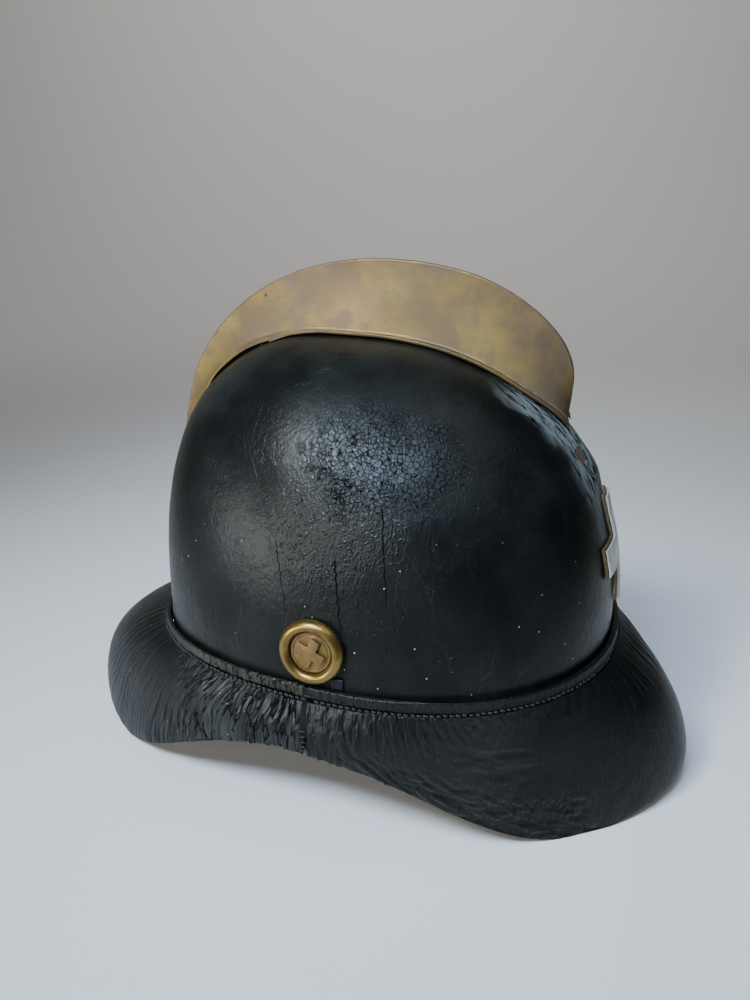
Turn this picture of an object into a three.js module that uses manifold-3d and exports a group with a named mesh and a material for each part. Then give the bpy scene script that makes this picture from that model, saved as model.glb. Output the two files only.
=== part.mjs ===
// A leather fire helmet with a tall brass comb, brass side rosettes and a badge at the front.
// Millimetres, +Z up, the wearer faces -Y. The origin is under the middle of the helmet, on
// the surface that it stands on.

import * as THREE from "three";
import { mergeVertices } from "three/addons/utils/BufferGeometryUtils.js";
import Module from "manifold-3d";

const wasm = await Module();
wasm.setup();

// ---- driving dimensions ----

// Crown: its plan is a superellipse at the spring line and closes to one point at the top.
const CROWN = {
  front: 119,
  rear: 115,
  side: 96.6,
  frontPower: 2.27,
  rearPower: 2.06,
  peakY: 23,
  springZ: 69.4,
  topZ: 214.7,
  wall: 4,
};
// How full the crown's upright profile is: the powers of its inward and upward parts.
const FULLNESS = {
  front: { inward: 0.8, upward: 0.82 },
  side: { inward: 1.0, upward: 0.95 },
  rear: { inward: 0.94, upward: 0.55 },
};
// Keel: the ridge down the front, from the comb to the badge.
const KEEL = {
  height: 4.5,
  halfWidth: 10,
  lowZ: 138.9,
  fullLowZ: 165.9,
  fullHighZ: 183.9,
  highZ: 197.9,
};
// Seam line, where the brims are sewn to the crown.
const SEAM = {
  sideZ: 80.7,
  frontRise: 5.2,
  rearDrop: 11.8,
  stitchDrop: 6.2,
  crownOverhang: 9,
};
// Brims: the edge's plan, and its height as a sum of cosines round the helmet.
const BRIM = {
  front: 164.6,
  rear: 170.8,
  side: 107,
  frontTaper: 0.098,
  rearTaper: 0.042,
  wall: 3.5,
  flangeWall: 2.8,
  slope: 0.65,
  jointAngle: 91,
  jointGap: 0.25,
};
// The edge is worn flat where its waves dip to the ground.
const EDGE_WAVES = [17.2, -1.3, -18.3, 1.2, 15.5, -1.2];
const LINING = { gap: 1.1, wall: 1.2, start: 0.16, end: 0.94 };
const GAP = 0.3;

// Comb: a hollow brass crest of two sheets.
const COMB = {
  baseHalfWidth: 6,
  sheet: 0.9,
  lip: 2.4,
  lipRise: 1.4,
  clearance: 1.2,
  end: 0.012,
  taper: 1.2,
  frontTurn: 0.79,
  rearTurn: 0.6,
};
// The comb's outer outline in the middle plane, as control points (y, z) of joined curves.
const COMB_OUTLINE = [
  [[-85.6, 182.4], [-86.4, 187.9], [-86.4, 193.9], [-86.3, 199.4]],
  [[-86.3, 199.4], [-86.5, 217.4], [-66, 234.4], [-40.6, 243.2]],
  [[-40.6, 243.2], [-15, 250.7], [17, 251], [42.6, 242.9]],
  [[42.6, 242.9], [70, 234.4], [95, 214.4], [105.5, 189.2]],
  [[105.5, 189.2], [110, 177.4], [113, 164.4], [115.2, 151.4]],
];
// Its three fixings: where they stand along the helmet, and their sizes.
const COMB_FIXINGS = { front: -48, middle: 12, rear: 66 };
const BRACKET = { width: 10.8, length: 14, low: 0.6, high: 2 };
const SCREW = { radius: 2, hole: 2.4, length: 11, headRadius: 3.8, headLow: 2.4, headHigh: 4.4 };
const WASHER = { radius: 6, low: 1.8, high: 0.9 };
const NUT = { radius: 4.4, bore: 2.3, low: 5.1, high: 2.1 };

// Badge: an equal-armed cross.
const BADGE = {
  z: 124.6,
  reach: 26,
  halfWidth: 7.1,
  trayLow: 0.4,
  trayHigh: 1.7,
  faceHigh: 2.7,
  inset: 0.8,
};
const BADGE_STUD = { spacing: 24, radius: 1.5, hole: 1.9, length: 9, high: 0.1 };
const BADGE_NUT = { radius: 3.4, bore: 1.8, low: 3.1, high: 0.5 };

// Rosettes at the two sides, each held by a stud.
const ROSETTE = {
  angle: 90.7,
  z: 96.9,
  radius: 14.7,
  bore: 2.4,
  floor: 1.1,
  faceRadius: 9.2,
  faceHigh: 2.6,
  square: 4.4,
  crossHigh: 3.6,
};
const ROSETTE_TURN = { right: 68, left: -12 };
const ROSETTE_STUD = { radius: 2, hole: 2.4, length: 14.6 };
const ROSETTE_WASHER = { radius: 5.5, low: 1.5, high: 0.7 };
const ROSETTE_NUT = { radius: 4.2, bore: 2.3, low: 13.6, high: 11 };

// Inner fittings.
const BAND = { inset: 17, wall: 2, height: 36, lean: 3, lift: 1 };
const HEM = { angle: 58, low: 0.5, high: 2.3 };
const CORD = { radius: 24, thickness: 1.2, z: 183.9 };
const TONGUE = {
  count: 8,
  spread: 0.3,
  rise: 1.4,
  wall: 1.6,
  baseWidth: 46,
  tipWidth: 11,
  eyelet: 2.3,
  bendReach: 0.84,
  bendDrop: 19,
};
const STRAP = {
  wall: 2.2,
  width: 16,
  x: 87.6,
  topZ: 106.9,
  knuckleZ: 63.9,
  elbowZ: 41.9,
  elbowX: 58,
  eyelet: 1.9,
  holeRadius: 2.9,
};
const RING = { wire: 1.5, halfLength: 7, halfWidth: 11.5, z: 29.9 };

const AHEAD = (BRIM.front - BRIM.rear) / 2;
const UP = new THREE.Vector3(0, 0, 1);

// ---- materials ----

const metal = (color, roughness) => new THREE.MeshStandardMaterial({ color, roughness, metalness: 1 });
const soft = (color, roughness) => new THREE.MeshStandardMaterial({ color, roughness, metalness: 0 });
const BLACK_LEATHER = soft(0x14171a, 0.45);
const LINING_LEATHER = soft(0x2a241e, 0.75);
const TAN_LEATHER = soft(0x6e4a2c, 0.7);
const STRAP_LEATHER = soft(0x1d1713, 0.6);
const LINEN = soft(0xb9a888, 0.9);
const AGED_BRASS = metal(0x8f7a45, 0.5);
const BRIGHT_BRASS = metal(0xb8924a, 0.3);
const NICKEL_SILVER = metal(0xb9bab5, 0.35);
const STEEL = metal(0x77746e, 0.5);

// ---- solids ----

const radians = THREE.MathUtils.degToRad;
const signedPower = (value, power) => Math.sign(value) * Math.abs(value) ** power;
const smooth = (low, high, value) => THREE.MathUtils.smoothstep(value, low, high);

function volumeOf(points, faces) {
  let sum = 0;
  const cross = new THREE.Vector3();
  for (let i = 0; i < faces.length; i += 3) {
    cross.crossVectors(points[faces[i + 1]], points[faces[i + 2]]);
    sum += points[faces[i]].dot(cross);
  }
  return sum / 6;
}

// Closed geometry from points and triangles, turned so that its faces look outwards.
function closedGeometry(points, faces) {
  const ordered = volumeOf(points, faces) < 0 ? faces.slice().reverse() : faces;
  const geometry = new THREE.BufferGeometry().setFromPoints(points);
  geometry.setIndex(ordered);
  return geometry;
}

function toSolid(geometry) {
  const bare = geometry.clone();
  bare.deleteAttribute("normal");
  bare.deleteAttribute("uv");
  const merged = mergeVertices(bare, 1e-4);
  return new wasm.Manifold(
    new wasm.Mesh({
      numProp: 3,
      vertProperties: merged.attributes.position.array,
      triVerts: new Uint32Array(merged.index.array),
    }),
  );
}

function toGeometry(solid) {
  const mesh = solid.getMesh();
  const geometry = new THREE.BufferGeometry();
  geometry.setAttribute("position", new THREE.BufferAttribute(mesh.vertProperties, 3));
  geometry.setIndex(new THREE.BufferAttribute(mesh.triVerts, 1));
  return geometry;
}

const join = (...parts) => toGeometry(parts.map(toSolid).reduce((a, b) => a.add(b)));
const cut = (body, ...tools) =>
  toGeometry(tools.map(toSolid).reduce((a, b) => a.subtract(b), toSolid(body)));
const overlap = (a, b) => toGeometry(toSolid(a).intersect(toSolid(b)));

// Triangles over a flat outline, wound the way the outline itself runs.
function capFaces(outline) {
  const forward = THREE.ShapeUtils.area(outline) > 0;
  return THREE.ShapeUtils.triangulateShape(outline, []).map(([a, b, c]) => {
    const same = THREE.ShapeUtils.area([outline[a], outline[b], outline[c]]) > 0 === forward;
    return same ? [a, b, c] : [a, c, b];
  });
}

// A solid through closed sections. Each section is flat points, put in space by place(i, point).
function loft(sections, place, ring = false) {
  const points = [];
  const faces = [];
  const around = sections[0].length;
  sections.forEach((section, i) => section.forEach((p) => points.push(place(i, p))));
  const last = ring ? sections.length : sections.length - 1;
  for (let i = 0; i < last; i++) {
    for (let k = 0; k < around; k++) {
      const a = i * around + k;
      const b = i * around + ((k + 1) % around);
      const next = ((i + 1) % sections.length) * around;
      const c = next + k;
      const d = next + ((k + 1) % around);
      faces.push(a, b, d, a, d, c);
    }
  }
  if (!ring) {
    const base = (sections.length - 1) * around;
    capFaces(sections[0]).forEach(([a, b, c]) => faces.push(a, c, b));
    capFaces(sections[sections.length - 1]).forEach(([a, b, c]) => faces.push(base + a, base + b, base + c));
  }
  return closedGeometry(points, faces);
}

const spread = (from, to, count) =>
  Array.from({ length: count + 1 }, (_, i) => from + ((to - from) * i) / count);

// ---- the crown's surface ----
// angle 0 is the front, 90 degrees the wearer's right.

function crownPlan(angle) {
  const c = Math.cos(angle);
  const power = 2 / (c > 0 ? CROWN.frontPower : CROWN.rearPower);
  const length = c > 0 ? CROWN.front : CROWN.rear;
  return new THREE.Vector2(
    -CROWN.side * signedPower(Math.sin(angle), power),
    -length * signedPower(c, power),
  );
}

function closeness(angle, z) {
  const part = (z - CROWN.springZ) / (CROWN.topZ - CROWN.springZ);
  if (part <= 0) return 1;
  const end = Math.cos(angle) > 0 ? FULLNESS.front : FULLNESS.rear;
  const share = Math.cos(angle) ** 2;
  const inward = THREE.MathUtils.lerp(FULLNESS.side.inward, end.inward, share);
  const upward = THREE.MathUtils.lerp(FULLNESS.side.upward, end.upward, share);
  const rise = Math.min(1, part) ** (1 / upward);
  return Math.sqrt(Math.max(0, 1 - rise * rise)) ** inward;
}

function keelAt(x, z) {
  const along = smooth(KEEL.lowZ, KEEL.fullLowZ, z) * (1 - smooth(KEEL.fullHighZ, KEEL.highZ, z));
  return KEEL.height * along * Math.exp(-((x / KEEL.halfWidth) ** 2));
}

function bareCrown(angle, z) {
  const plan = crownPlan(angle);
  const near = closeness(angle, z);
  const x = plan.x * near;
  const y = CROWN.peakY + (plan.y - CROWN.peakY) * near;
  const keel = Math.cos(angle) > 0 ? keelAt(x, z) : 0;
  return new THREE.Vector3(x, y - keel + AHEAD, z);
}

function crownNormal(angle, z) {
  const step = 0.01;
  const around = bareCrown(angle + step, z).sub(bareCrown(angle - step, z));
  const upward = bareCrown(angle, z + 0.2).sub(bareCrown(angle, z - 0.2));
  return new THREE.Vector3().crossVectors(upward, around).normalize();
}

// A point on the crown's outside, moved outwards by lift.
function crownPoint(angle, z, lift = 0) {
  return bareCrown(angle, z).addScaledVector(crownNormal(angle, z), lift);
}

function seamZ(angle) {
  const c = Math.cos(angle);
  return SEAM.sideZ + (c > 0 ? SEAM.frontRise : -SEAM.rearDrop) * c * c;
}

// The plan at the seam, moved outwards by lift, with the shift of the whole crown.
function wallPoint(angle, lift) {
  const step = 0.01;
  const along = crownPlan(angle + step).sub(crownPlan(angle - step)).normalize();
  const point = crownPlan(angle).addScaledVector(new THREE.Vector2(along.y, -along.x), -lift);
  return new THREE.Vector2(point.x, point.y + AHEAD);
}

// ---- crown shell ----

function crownShell() {
  const sides = 44;
  const rows = 11;
  const points = [];
  const faces = [];
  const heights = spread(0, Math.PI / 2, rows).slice(0, rows).map(Math.sin);
  const index = (layer, i, k) => (layer * rows + i) * sides + (k % sides);
  [0, -CROWN.wall].forEach((lift) =>
    heights.forEach((part) => {
      for (let k = 0; k < sides; k++) {
        const angle = (2 * Math.PI * k) / sides;
        const low = seamZ(angle) - SEAM.crownOverhang;
        const z = low + (CROWN.topZ - low) * part;
        const point = crownPoint(angle, z, lift);
        if (part === 0) point.z = low;
        points.push(point);
      }
    }),
  );
  const top = points.length;
  points.push(new THREE.Vector3(0, CROWN.peakY + AHEAD, CROWN.topZ));
  points.push(new THREE.Vector3(0, CROWN.peakY + AHEAD, CROWN.topZ - CROWN.wall));
  for (let k = 0; k < sides; k++) {
    for (let i = 0; i < rows - 1; i++) {
      faces.push(index(0, i, k), index(0, i + 1, k + 1), index(0, i, k + 1));
      faces.push(index(0, i, k), index(0, i + 1, k), index(0, i + 1, k + 1));
      faces.push(index(1, i, k), index(1, i, k + 1), index(1, i + 1, k + 1));
      faces.push(index(1, i, k), index(1, i + 1, k + 1), index(1, i + 1, k));
    }
    faces.push(index(0, rows - 1, k), top, index(0, rows - 1, k + 1));
    faces.push(index(1, rows - 1, k), index(1, rows - 1, k + 1), top + 1);
    faces.push(index(0, 0, k), index(0, 0, k + 1), index(1, 0, k + 1));
    faces.push(index(0, 0, k), index(1, 0, k + 1), index(1, 0, k));
  }
  return closedGeometry(points, faces);
}

// ---- brims ----

function edgePoint(angle) {
  const c = Math.cos(angle);
  const taper = c > 0 ? BRIM.frontTaper : BRIM.rearTaper;
  const length = c > 0 ? BRIM.front : BRIM.rear;
  const pull = 1 - taper * Math.sin(2 * angle) ** 2;
  const z = Math.max(0, EDGE_WAVES.reduce((sum, wave, i) => sum + wave * Math.cos(i * angle), 0));
  return new THREE.Vector3(-BRIM.side * Math.sin(angle) * pull, -length * c * pull + AHEAD, z);
}

// The brim's outer line in its upright plane: x is the distance out from the flange.
function brimLine(angle, from, to, count) {
  const foot = wallPoint(angle, GAP + BRIM.flangeWall);
  const edge = edgePoint(angle);
  const reach = Math.hypot(edge.x - foot.x, edge.y - foot.y);
  const start = seamZ(angle) - SEAM.stitchDrop;
  const drop = start - edge.z;
  return spread(from, to, count).map((s) => {
    const turn = (s * Math.PI) / 2;
    const fall = (1 - BRIM.slope) * (1 - Math.cos(turn)) + BRIM.slope * s;
    return new THREE.Vector2(reach * Math.sin(turn), start - drop * fall);
  });
}

// The same line moved inwards, to the underside.
function insetLine(line, depth) {
  return line.map((p, i) => {
    const before = line[Math.max(0, i - 1)];
    const after = line[Math.min(line.length - 1, i + 1)];
    const along = after.clone().sub(before).normalize();
    return new THREE.Vector2(p.x + along.y * depth, p.y - along.x * depth);
  });
}

function placeOnBrim(angle, p) {
  const foot = wallPoint(angle, GAP + BRIM.flangeWall);
  const edge = edgePoint(angle);
  const out = new THREE.Vector2(edge.x - foot.x, edge.y - foot.y).normalize();
  return new THREE.Vector3(foot.x + out.x * p.x, foot.y + out.y * p.x, p.y);
}

function brimSection(angle) {
  const line = brimLine(angle, 0, 1, 7);
  const under = insetLine(line, BRIM.wall);
  const top = seamZ(angle);
  const foot = line[0];
  under[0] = new THREE.Vector2(-BRIM.flangeWall, foot.y - BRIM.wall);
  under[under.length - 1].y = line[line.length - 1].y;
  return [
    new THREE.Vector2(-BRIM.flangeWall, top),
    new THREE.Vector2(0, top),
    ...line,
    ...under.reverse(),
  ];
}

function brimAngles(isFront, count) {
  const joint = radians(BRIM.jointAngle);
  const gap = radians(BRIM.jointGap);
  if (isFront) return spread(-joint + gap, joint - gap, count);
  return spread(joint + gap, 2 * Math.PI - joint - gap, count);
}

function brim(isFront) {
  const angles = brimAngles(isFront, 34);
  return loft(angles.map(brimSection), (i, p) => placeOnBrim(angles[i], p));
}

function brimLining(isFront) {
  const angles = brimAngles(isFront, 26).slice(1, -1);
  const sections = angles.map((angle) => {
    const line = brimLine(angle, LINING.start, LINING.end, 5);
    const upper = insetLine(line, BRIM.wall + LINING.gap);
    const lower = insetLine(line, BRIM.wall + LINING.gap + LINING.wall);
    return [...upper, ...lower.reverse()];
  });
  return loft(sections, (i, p) => placeOnBrim(angles[i], p));
}

// ---- comb ----

function combOutline() {
  const path = new THREE.CurvePath();
  COMB_OUTLINE.forEach((curve) => {
    const points = curve.map(([y, z]) => new THREE.Vector2(y + AHEAD, z));
    path.add(new THREE.CubicBezierCurve(...points));
  });
  return path;
}

// The crown's middle profile, raised by lift; s runs from the comb's front end to its rear end.
function crownRidge(s, lift) {
  const turn = THREE.MathUtils.lerp(COMB.frontTurn, Math.PI - COMB.rearTurn, s);
  const isFront = turn < Math.PI / 2;
  const angle = isFront ? 0 : Math.PI;
  const upward = isFront ? FULLNESS.front.upward : FULLNESS.rear.upward;
  const z = CROWN.springZ + (CROWN.topZ - CROWN.springZ) * Math.sin(turn) ** upward;
  if (z > CROWN.topZ - 0.3) return new THREE.Vector2(CROWN.peakY + AHEAD, CROWN.topZ + lift);
  const point = crownPoint(angle, z, lift);
  return new THREE.Vector2(point.y, point.z);
}

function combHalf(side) {
  const outline = combOutline();
  const stations = spread(COMB.end, 1 - COMB.end, 32);
  const levels = [1, 0.8, 0.6, 0.4, 0.2];
  const sections = stations.map(() => {
    const face = levels.map((v) => new THREE.Vector2(halfWidth(v), v));
    const inner = levels.map((v) => new THREE.Vector2(halfWidth(v) - COMB.sheet, v)).reverse();
    const wide = halfWidth(0);
    return [
      ...face,
      new THREE.Vector2(wide, 0.06),
      new THREE.Vector2(wide + COMB.lip, 0.05),
      new THREE.Vector2(wide + COMB.lip, 0),
      new THREE.Vector2(wide - COMB.sheet, 0),
      ...inner,
    ];
  });
  return loft(sections, (i, p) => {
    const s = stations[i];
    const top = outline.getPointAt(s);
    const foot = crownRidge(s, COMB.clearance);
    const height = top.distanceTo(foot);
    const share = p.y > 0 && p.y < 0.1 ? Math.min(0.5, COMB.lipRise / height) : p.y;
    const at = foot.clone().lerp(top, share);
    return new THREE.Vector3(side * p.x, at.x, at.y);
  });
}

function halfWidth(level) {
  return GAP / 2 + COMB.sheet + COMB.baseHalfWidth * (1 - level) ** COMB.taper;
}

// ---- small round pieces, along their own +Z ----

function rod(radius, low, high, sides = 14) {
  return new THREE.CylinderGeometry(radius, radius, high - low, sides)
    .rotateX(Math.PI / 2)
    .translate(0, 0, (low + high) / 2);
}

const tubePiece = (radius, bore, low, high, sides = 14) =>
  cut(rod(radius, low, high, sides), rod(bore, low - 1, high + 1, 12));
const nut = (radius, bore, low, high) => tubePiece(radius, bore, low, high, 6);

function crossShape(square) {
  const h = square / 2;
  const l = square * 1.5;
  const shape = new THREE.Shape();
  shape.moveTo(-h, -l);
  [
    [h, -l], [h, -h], [l, -h], [l, h], [h, h], [h, l],
    [-h, l], [-h, h], [-l, h], [-l, -h], [-h, -h],
  ].forEach(([x, y]) => shape.lineTo(x, y));
  return shape;
}

// ---- helmet ----

const helmet = new THREE.Group();

function add(parent, name, geometry, material) {
  const mesh = new THREE.Mesh(geometry, material);
  mesh.name = name;
  parent.add(mesh);
  return mesh;
}

// A group that stands on the crown, its +Z along the outward normal.
function standOnCrown(angle, z) {
  const group = new THREE.Group();
  group.position.copy(crownPoint(angle, z));
  const normal = crownNormal(angle, z);
  const level = Math.abs(normal.z) < 0.9 ? UP : new THREE.Vector3(0, -1, 0);
  const side = new THREE.Vector3().crossVectors(level, normal).normalize();
  const ahead = new THREE.Vector3().crossVectors(normal, side);
  group.quaternion.setFromRotationMatrix(new THREE.Matrix4().makeBasis(side, ahead, normal));
  helmet.add(group);
  group.updateMatrixWorld(true);
  return group;
}

const holes = [];
function drill(group, radius) {
  holes.push(rod(radius, -CROWN.wall * 3, 6, 12).applyMatrix4(group.matrixWorld));
}

// Comb and its three fixings.
function combFixing(place, y) {
  const onFront = y < CROWN.peakY;
  const reach = onFront ? CROWN.front + CROWN.peakY : CROWN.rear - CROWN.peakY;
  const near = Math.abs(y - CROWN.peakY) / reach;
  const full = onFront ? FULLNESS.front : FULLNESS.rear;
  const rise = Math.sqrt(1 - near ** (2 / full.inward)) ** full.upward;
  const z = CROWN.springZ + (CROWN.topZ - CROWN.springZ) * rise;
  const group = standOnCrown(onFront ? 0 : Math.PI, z);
  const inside = -CROWN.wall;
  const { width, length, low, high } = BRACKET;
  const plate = new THREE.BoxGeometry(width, length, high - low).translate(0, 0, (low + high) / 2);
  const shank = rod(SCREW.radius, -SCREW.length, SCREW.headHigh);
  const head = rod(SCREW.headRadius, SCREW.headLow, SCREW.headHigh);
  const washer = tubePiece(WASHER.radius, SCREW.hole, inside - WASHER.low, inside - WASHER.high);
  add(group, "comb_bracket_" + place, cut(plate, rod(SCREW.hole, -high, 2 * high)), AGED_BRASS);
  add(group, "comb_screw_" + place, join(shank, head), STEEL);
  add(group, "comb_washer_" + place, washer, STEEL);
  add(group, "comb_nut_" + place, nut(NUT.radius, NUT.bore, inside - NUT.low, inside - NUT.high), STEEL);
  drill(group, SCREW.hole);
}

// Badge: plates bent over the crown's front.
function frontPoint(x, z, lift) {
  let low = -1.4;
  let high = 1.4;
  for (let i = 0; i < 40; i++) {
    const middle = (low + high) / 2;
    if (bareCrown(middle, z).x > x) low = middle;
    else high = middle;
  }
  return crownPoint((low + high) / 2, z, lift);
}

function bentCross(inset, low, high) {
  const cuts = 3;
  const reach = BADGE.reach - inset;
  const arm = BADGE.halfWidth - inset;
  const stops = [
    ...spread(-reach, -arm, cuts),
    ...spread(-arm, arm, cuts).slice(1),
    ...spread(arm, reach, cuts).slice(1),
  ];
  const inArm = (i) => i >= cuts && i < 2 * cuts;
  const filled = (i, j) =>
    i >= 0 && j >= 0 && i < 3 * cuts && j < 3 * cuts && (inArm(i) || inArm(j));
  const points = [];
  const faces = [];
  const known = new Map();
  const vertex = (i, j, layer) => {
    const key = [i, j, layer].join();
    if (!known.has(key)) {
      known.set(key, points.length);
      points.push(frontPoint(stops[i], BADGE.z + stops[j], layer ? high : low));
    }
    return known.get(key);
  };
  const quad = (a, b, c, d) => faces.push(a, b, c, a, c, d);
  for (let i = 0; i < 3 * cuts; i++) {
    for (let j = 0; j < 3 * cuts; j++) {
      if (!filled(i, j)) continue;
      quad(vertex(i, j, 1), vertex(i + 1, j, 1), vertex(i + 1, j + 1, 1), vertex(i, j + 1, 1));
      quad(vertex(i, j, 0), vertex(i, j + 1, 0), vertex(i + 1, j + 1, 0), vertex(i + 1, j, 0));
      if (!filled(i, j - 1))
        quad(vertex(i, j, 0), vertex(i + 1, j, 0), vertex(i + 1, j, 1), vertex(i, j, 1));
      if (!filled(i, j + 1))
        quad(vertex(i + 1, j + 1, 0), vertex(i, j + 1, 0), vertex(i, j + 1, 1), vertex(i + 1, j + 1, 1));
      if (!filled(i - 1, j))
        quad(vertex(i, j + 1, 0), vertex(i, j, 0), vertex(i, j, 1), vertex(i, j + 1, 1));
      if (!filled(i + 1, j))
        quad(vertex(i + 1, j, 0), vertex(i + 1, j + 1, 0), vertex(i + 1, j + 1, 1), vertex(i + 1, j, 1));
    }
  }
  return closedGeometry(points, faces);
}

function badge() {
  add(helmet, "badge_tray", bentCross(0, BADGE.trayLow, BADGE.trayHigh), AGED_BRASS);
  add(helmet, "badge_face", bentCross(BADGE.inset, BADGE.trayHigh + GAP, BADGE.faceHigh), NICKEL_SILVER);
  [["upper", 1], ["lower", -1]].forEach(([place, side]) => {
    const group = standOnCrown(0, BADGE.z + (side * BADGE_STUD.spacing) / 2);
    const stud = rod(BADGE_STUD.radius, -BADGE_STUD.length, BADGE_STUD.high);
    const { radius, bore, low, high } = BADGE_NUT;
    add(group, "badge_stud_" + place, stud, AGED_BRASS);
    add(group, "badge_nut_" + place, nut(radius, bore, -CROWN.wall - low, -CROWN.wall - high), STEEL);
    drill(group, BADGE_STUD.hole);
  });
}

// Rosettes.
function rosetteCup() {
  const r = ROSETTE.radius;
  const seat = ROSETTE.faceRadius + GAP;
  const profile = new THREE.Path();
  profile.moveTo(ROSETTE.bore, GAP);
  profile.lineTo(r - 0.8, GAP);
  profile.bezierCurveTo(r + 0.1, 0.8, r + 0.2, 2.4, r - 0.9, 3.8);
  profile.bezierCurveTo(r - 2, 5.3, seat + 1.2, 5.2, seat + 0.4, 3.9);
  profile.lineTo(seat, 2.2);
  profile.lineTo(seat, ROSETTE.floor);
  profile.lineTo(ROSETTE.bore, ROSETTE.floor);
  profile.closePath();
  return new THREE.LatheGeometry(profile.getPoints(3), 24).rotateX(Math.PI / 2);
}

function rosette(place, side) {
  const group = standOnCrown(side * radians(ROSETTE.angle), ROSETTE.z);
  const name = "rosette_" + place;
  const { radius, hole, length } = ROSETTE_STUD;
  const { floor, faceRadius, faceHigh, square, crossHigh } = ROSETTE;
  const inside = -CROWN.wall;
  const face = rod(faceRadius, floor + GAP, faceHigh, 28);
  const cross = new THREE.ExtrudeGeometry(crossShape(square), { depth: 1.4, bevelEnabled: false })
    .translate(0, 0, crossHigh - 1.4)
    .rotateZ(radians(ROSETTE_TURN[place]));
  const washer = tubePiece(
    ROSETTE_WASHER.radius,
    hole,
    inside - ROSETTE_WASHER.low,
    inside - ROSETTE_WASHER.high,
  );
  const lock = nut(ROSETTE_NUT.radius, ROSETTE_NUT.bore, -ROSETTE_NUT.low, -ROSETTE_NUT.high);
  add(group, name + "_cup", toGeometry(toSolid(rosetteCup())), BRIGHT_BRASS);
  add(group, name + "_medallion", join(face, cross), BRIGHT_BRASS);
  add(group, name + "_stud", rod(radius, -length, floor), AGED_BRASS);
  add(group, name + "_washer", washer, STEEL);
  add(group, name + "_nut", lock, STEEL);
  drill(group, hole);
}

// Sweatband: a ring of leather, with a hem to the crown at the front and at the rear.
function sweatband() {
  const around = 44;
  const angles = spread(0, 2 * Math.PI, around).slice(0, around);
  const place = (list) => (i, p) => {
    const at = wallPoint(list[i], -p.x);
    return new THREE.Vector3(at.x, at.y, p.y);
  };
  const ring = loft(
    angles.map((angle) => {
      const low = bandTopZ(angle) - BAND.height;
      const high = bandTopZ(angle);
      const { inset, wall, lean } = BAND;
      return [
        new THREE.Vector2(inset, low),
        new THREE.Vector2(inset + lean, high),
        new THREE.Vector2(inset + lean + wall, high),
        new THREE.Vector2(inset + wall, low),
      ];
    }),
    place(angles),
    true,
  );
  const hem = (middle) => {
    const list = spread(middle - radians(HEM.angle), middle + radians(HEM.angle), 16);
    const outside = CROWN.wall + 2 * GAP;
    return loft(
      list.map((angle) => {
        const low = bandTopZ(angle) - BAND.height;
        return [
          new THREE.Vector2(outside, low + HEM.low),
          new THREE.Vector2(outside, low + HEM.high),
          new THREE.Vector2(BAND.inset + 1, low + HEM.high),
          new THREE.Vector2(BAND.inset + 1, low + HEM.low),
        ];
      }),
      place(list),
    );
  };
  return join(ring, hem(0), hem(Math.PI));
}

// A flat strip that follows points in a plane and ends in an eyelet round a rod.
function stripWithEyelet(points, wall, eyelet, width) {
  const outer = [];
  const inner = [];
  points.forEach((p, i) => {
    const before = points[Math.max(0, i - 1)];
    const after = points[Math.min(points.length - 1, i + 1)];
    const along = after.clone().sub(before).normalize();
    const across = new THREE.Vector2(-along.y, along.x).multiplyScalar(wall / 2);
    outer.push(p.clone().add(across));
    inner.push(p.clone().sub(across));
  });
  const end = points[points.length - 1];
  const along = end.clone().sub(points[points.length - 2]).normalize();
  const centre = end.clone().addScaledVector(along, eyelet + wall * 0.4);
  const options = { depth: width, bevelEnabled: false, curveSegments: 7 };
  const extrude = (shape) => new THREE.ExtrudeGeometry(shape, options);
  const loop = new THREE.Shape().absarc(centre.x, centre.y, eyelet + wall, 0, 2 * Math.PI, false);
  loop.holes.push(new THREE.Path().absarc(centre.x, centre.y, eyelet, 0, 2 * Math.PI, true));
  const strip = extrude(new THREE.Shape([...outer, ...inner.reverse()]));
  return { geometry: join(strip, extrude(loop)).translate(0, 0, -width / 2), centre };
}

function linerTongue(number) {
  const angle = radians(22.5 + 45 * number);
  const out = new THREE.Vector2(-Math.sin(angle), -Math.cos(angle));
  const centre = new THREE.Vector2(0, AHEAD);
  const foot = bandAngle(out);
  const reach = wallPoint(foot, -(BAND.inset + BAND.lean + BAND.wall / 2)).distanceTo(centre);
  const nearby = spread(foot - TONGUE.spread, foot + TONGUE.spread, 6);
  const lowZ = Math.max(...nearby.map(bandTopZ)) + TONGUE.rise;
  const tip = CORD.radius + TONGUE.eyelet + TONGUE.wall * 0.4;
  const curve = new THREE.QuadraticBezierCurve(
    new THREE.Vector2(reach, lowZ),
    new THREE.Vector2(reach * TONGUE.bendReach, CORD.z - TONGUE.bendDrop),
    new THREE.Vector2(tip, CORD.z),
  );
  const strip = stripWithEyelet(curve.getPoints(6), TONGUE.wall, TONGUE.eyelet, TONGUE.baseWidth);
  const shift = CORD.radius - strip.centre.x;
  const drop = CORD.z - strip.centre.y;
  const wedge = new THREE.Shape([
    new THREE.Vector2(0, -TONGUE.tipWidth / 2 + 1),
    new THREE.Vector2(CORD.radius + 8, -TONGUE.tipWidth / 2),
    new THREE.Vector2(reach + 4, -TONGUE.baseWidth / 2),
    new THREE.Vector2(reach + 4, TONGUE.baseWidth / 2),
    new THREE.Vector2(CORD.radius + 8, TONGUE.tipWidth / 2),
    new THREE.Vector2(0, TONGUE.tipWidth / 2 - 1),
  ]);
  const prism = new THREE.ExtrudeGeometry(wedge, { depth: 260, bevelEnabled: false });
  const upright = strip.geometry.rotateX(Math.PI / 2).translate(shift, 0, drop);
  return overlap(upright, prism).rotateZ(-Math.PI / 2 - angle).translate(centre.x, centre.y, 0);
}

const bandTopZ = (angle) => seamZ(angle) - SEAM.crownOverhang + BAND.lift + BAND.height;

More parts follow.
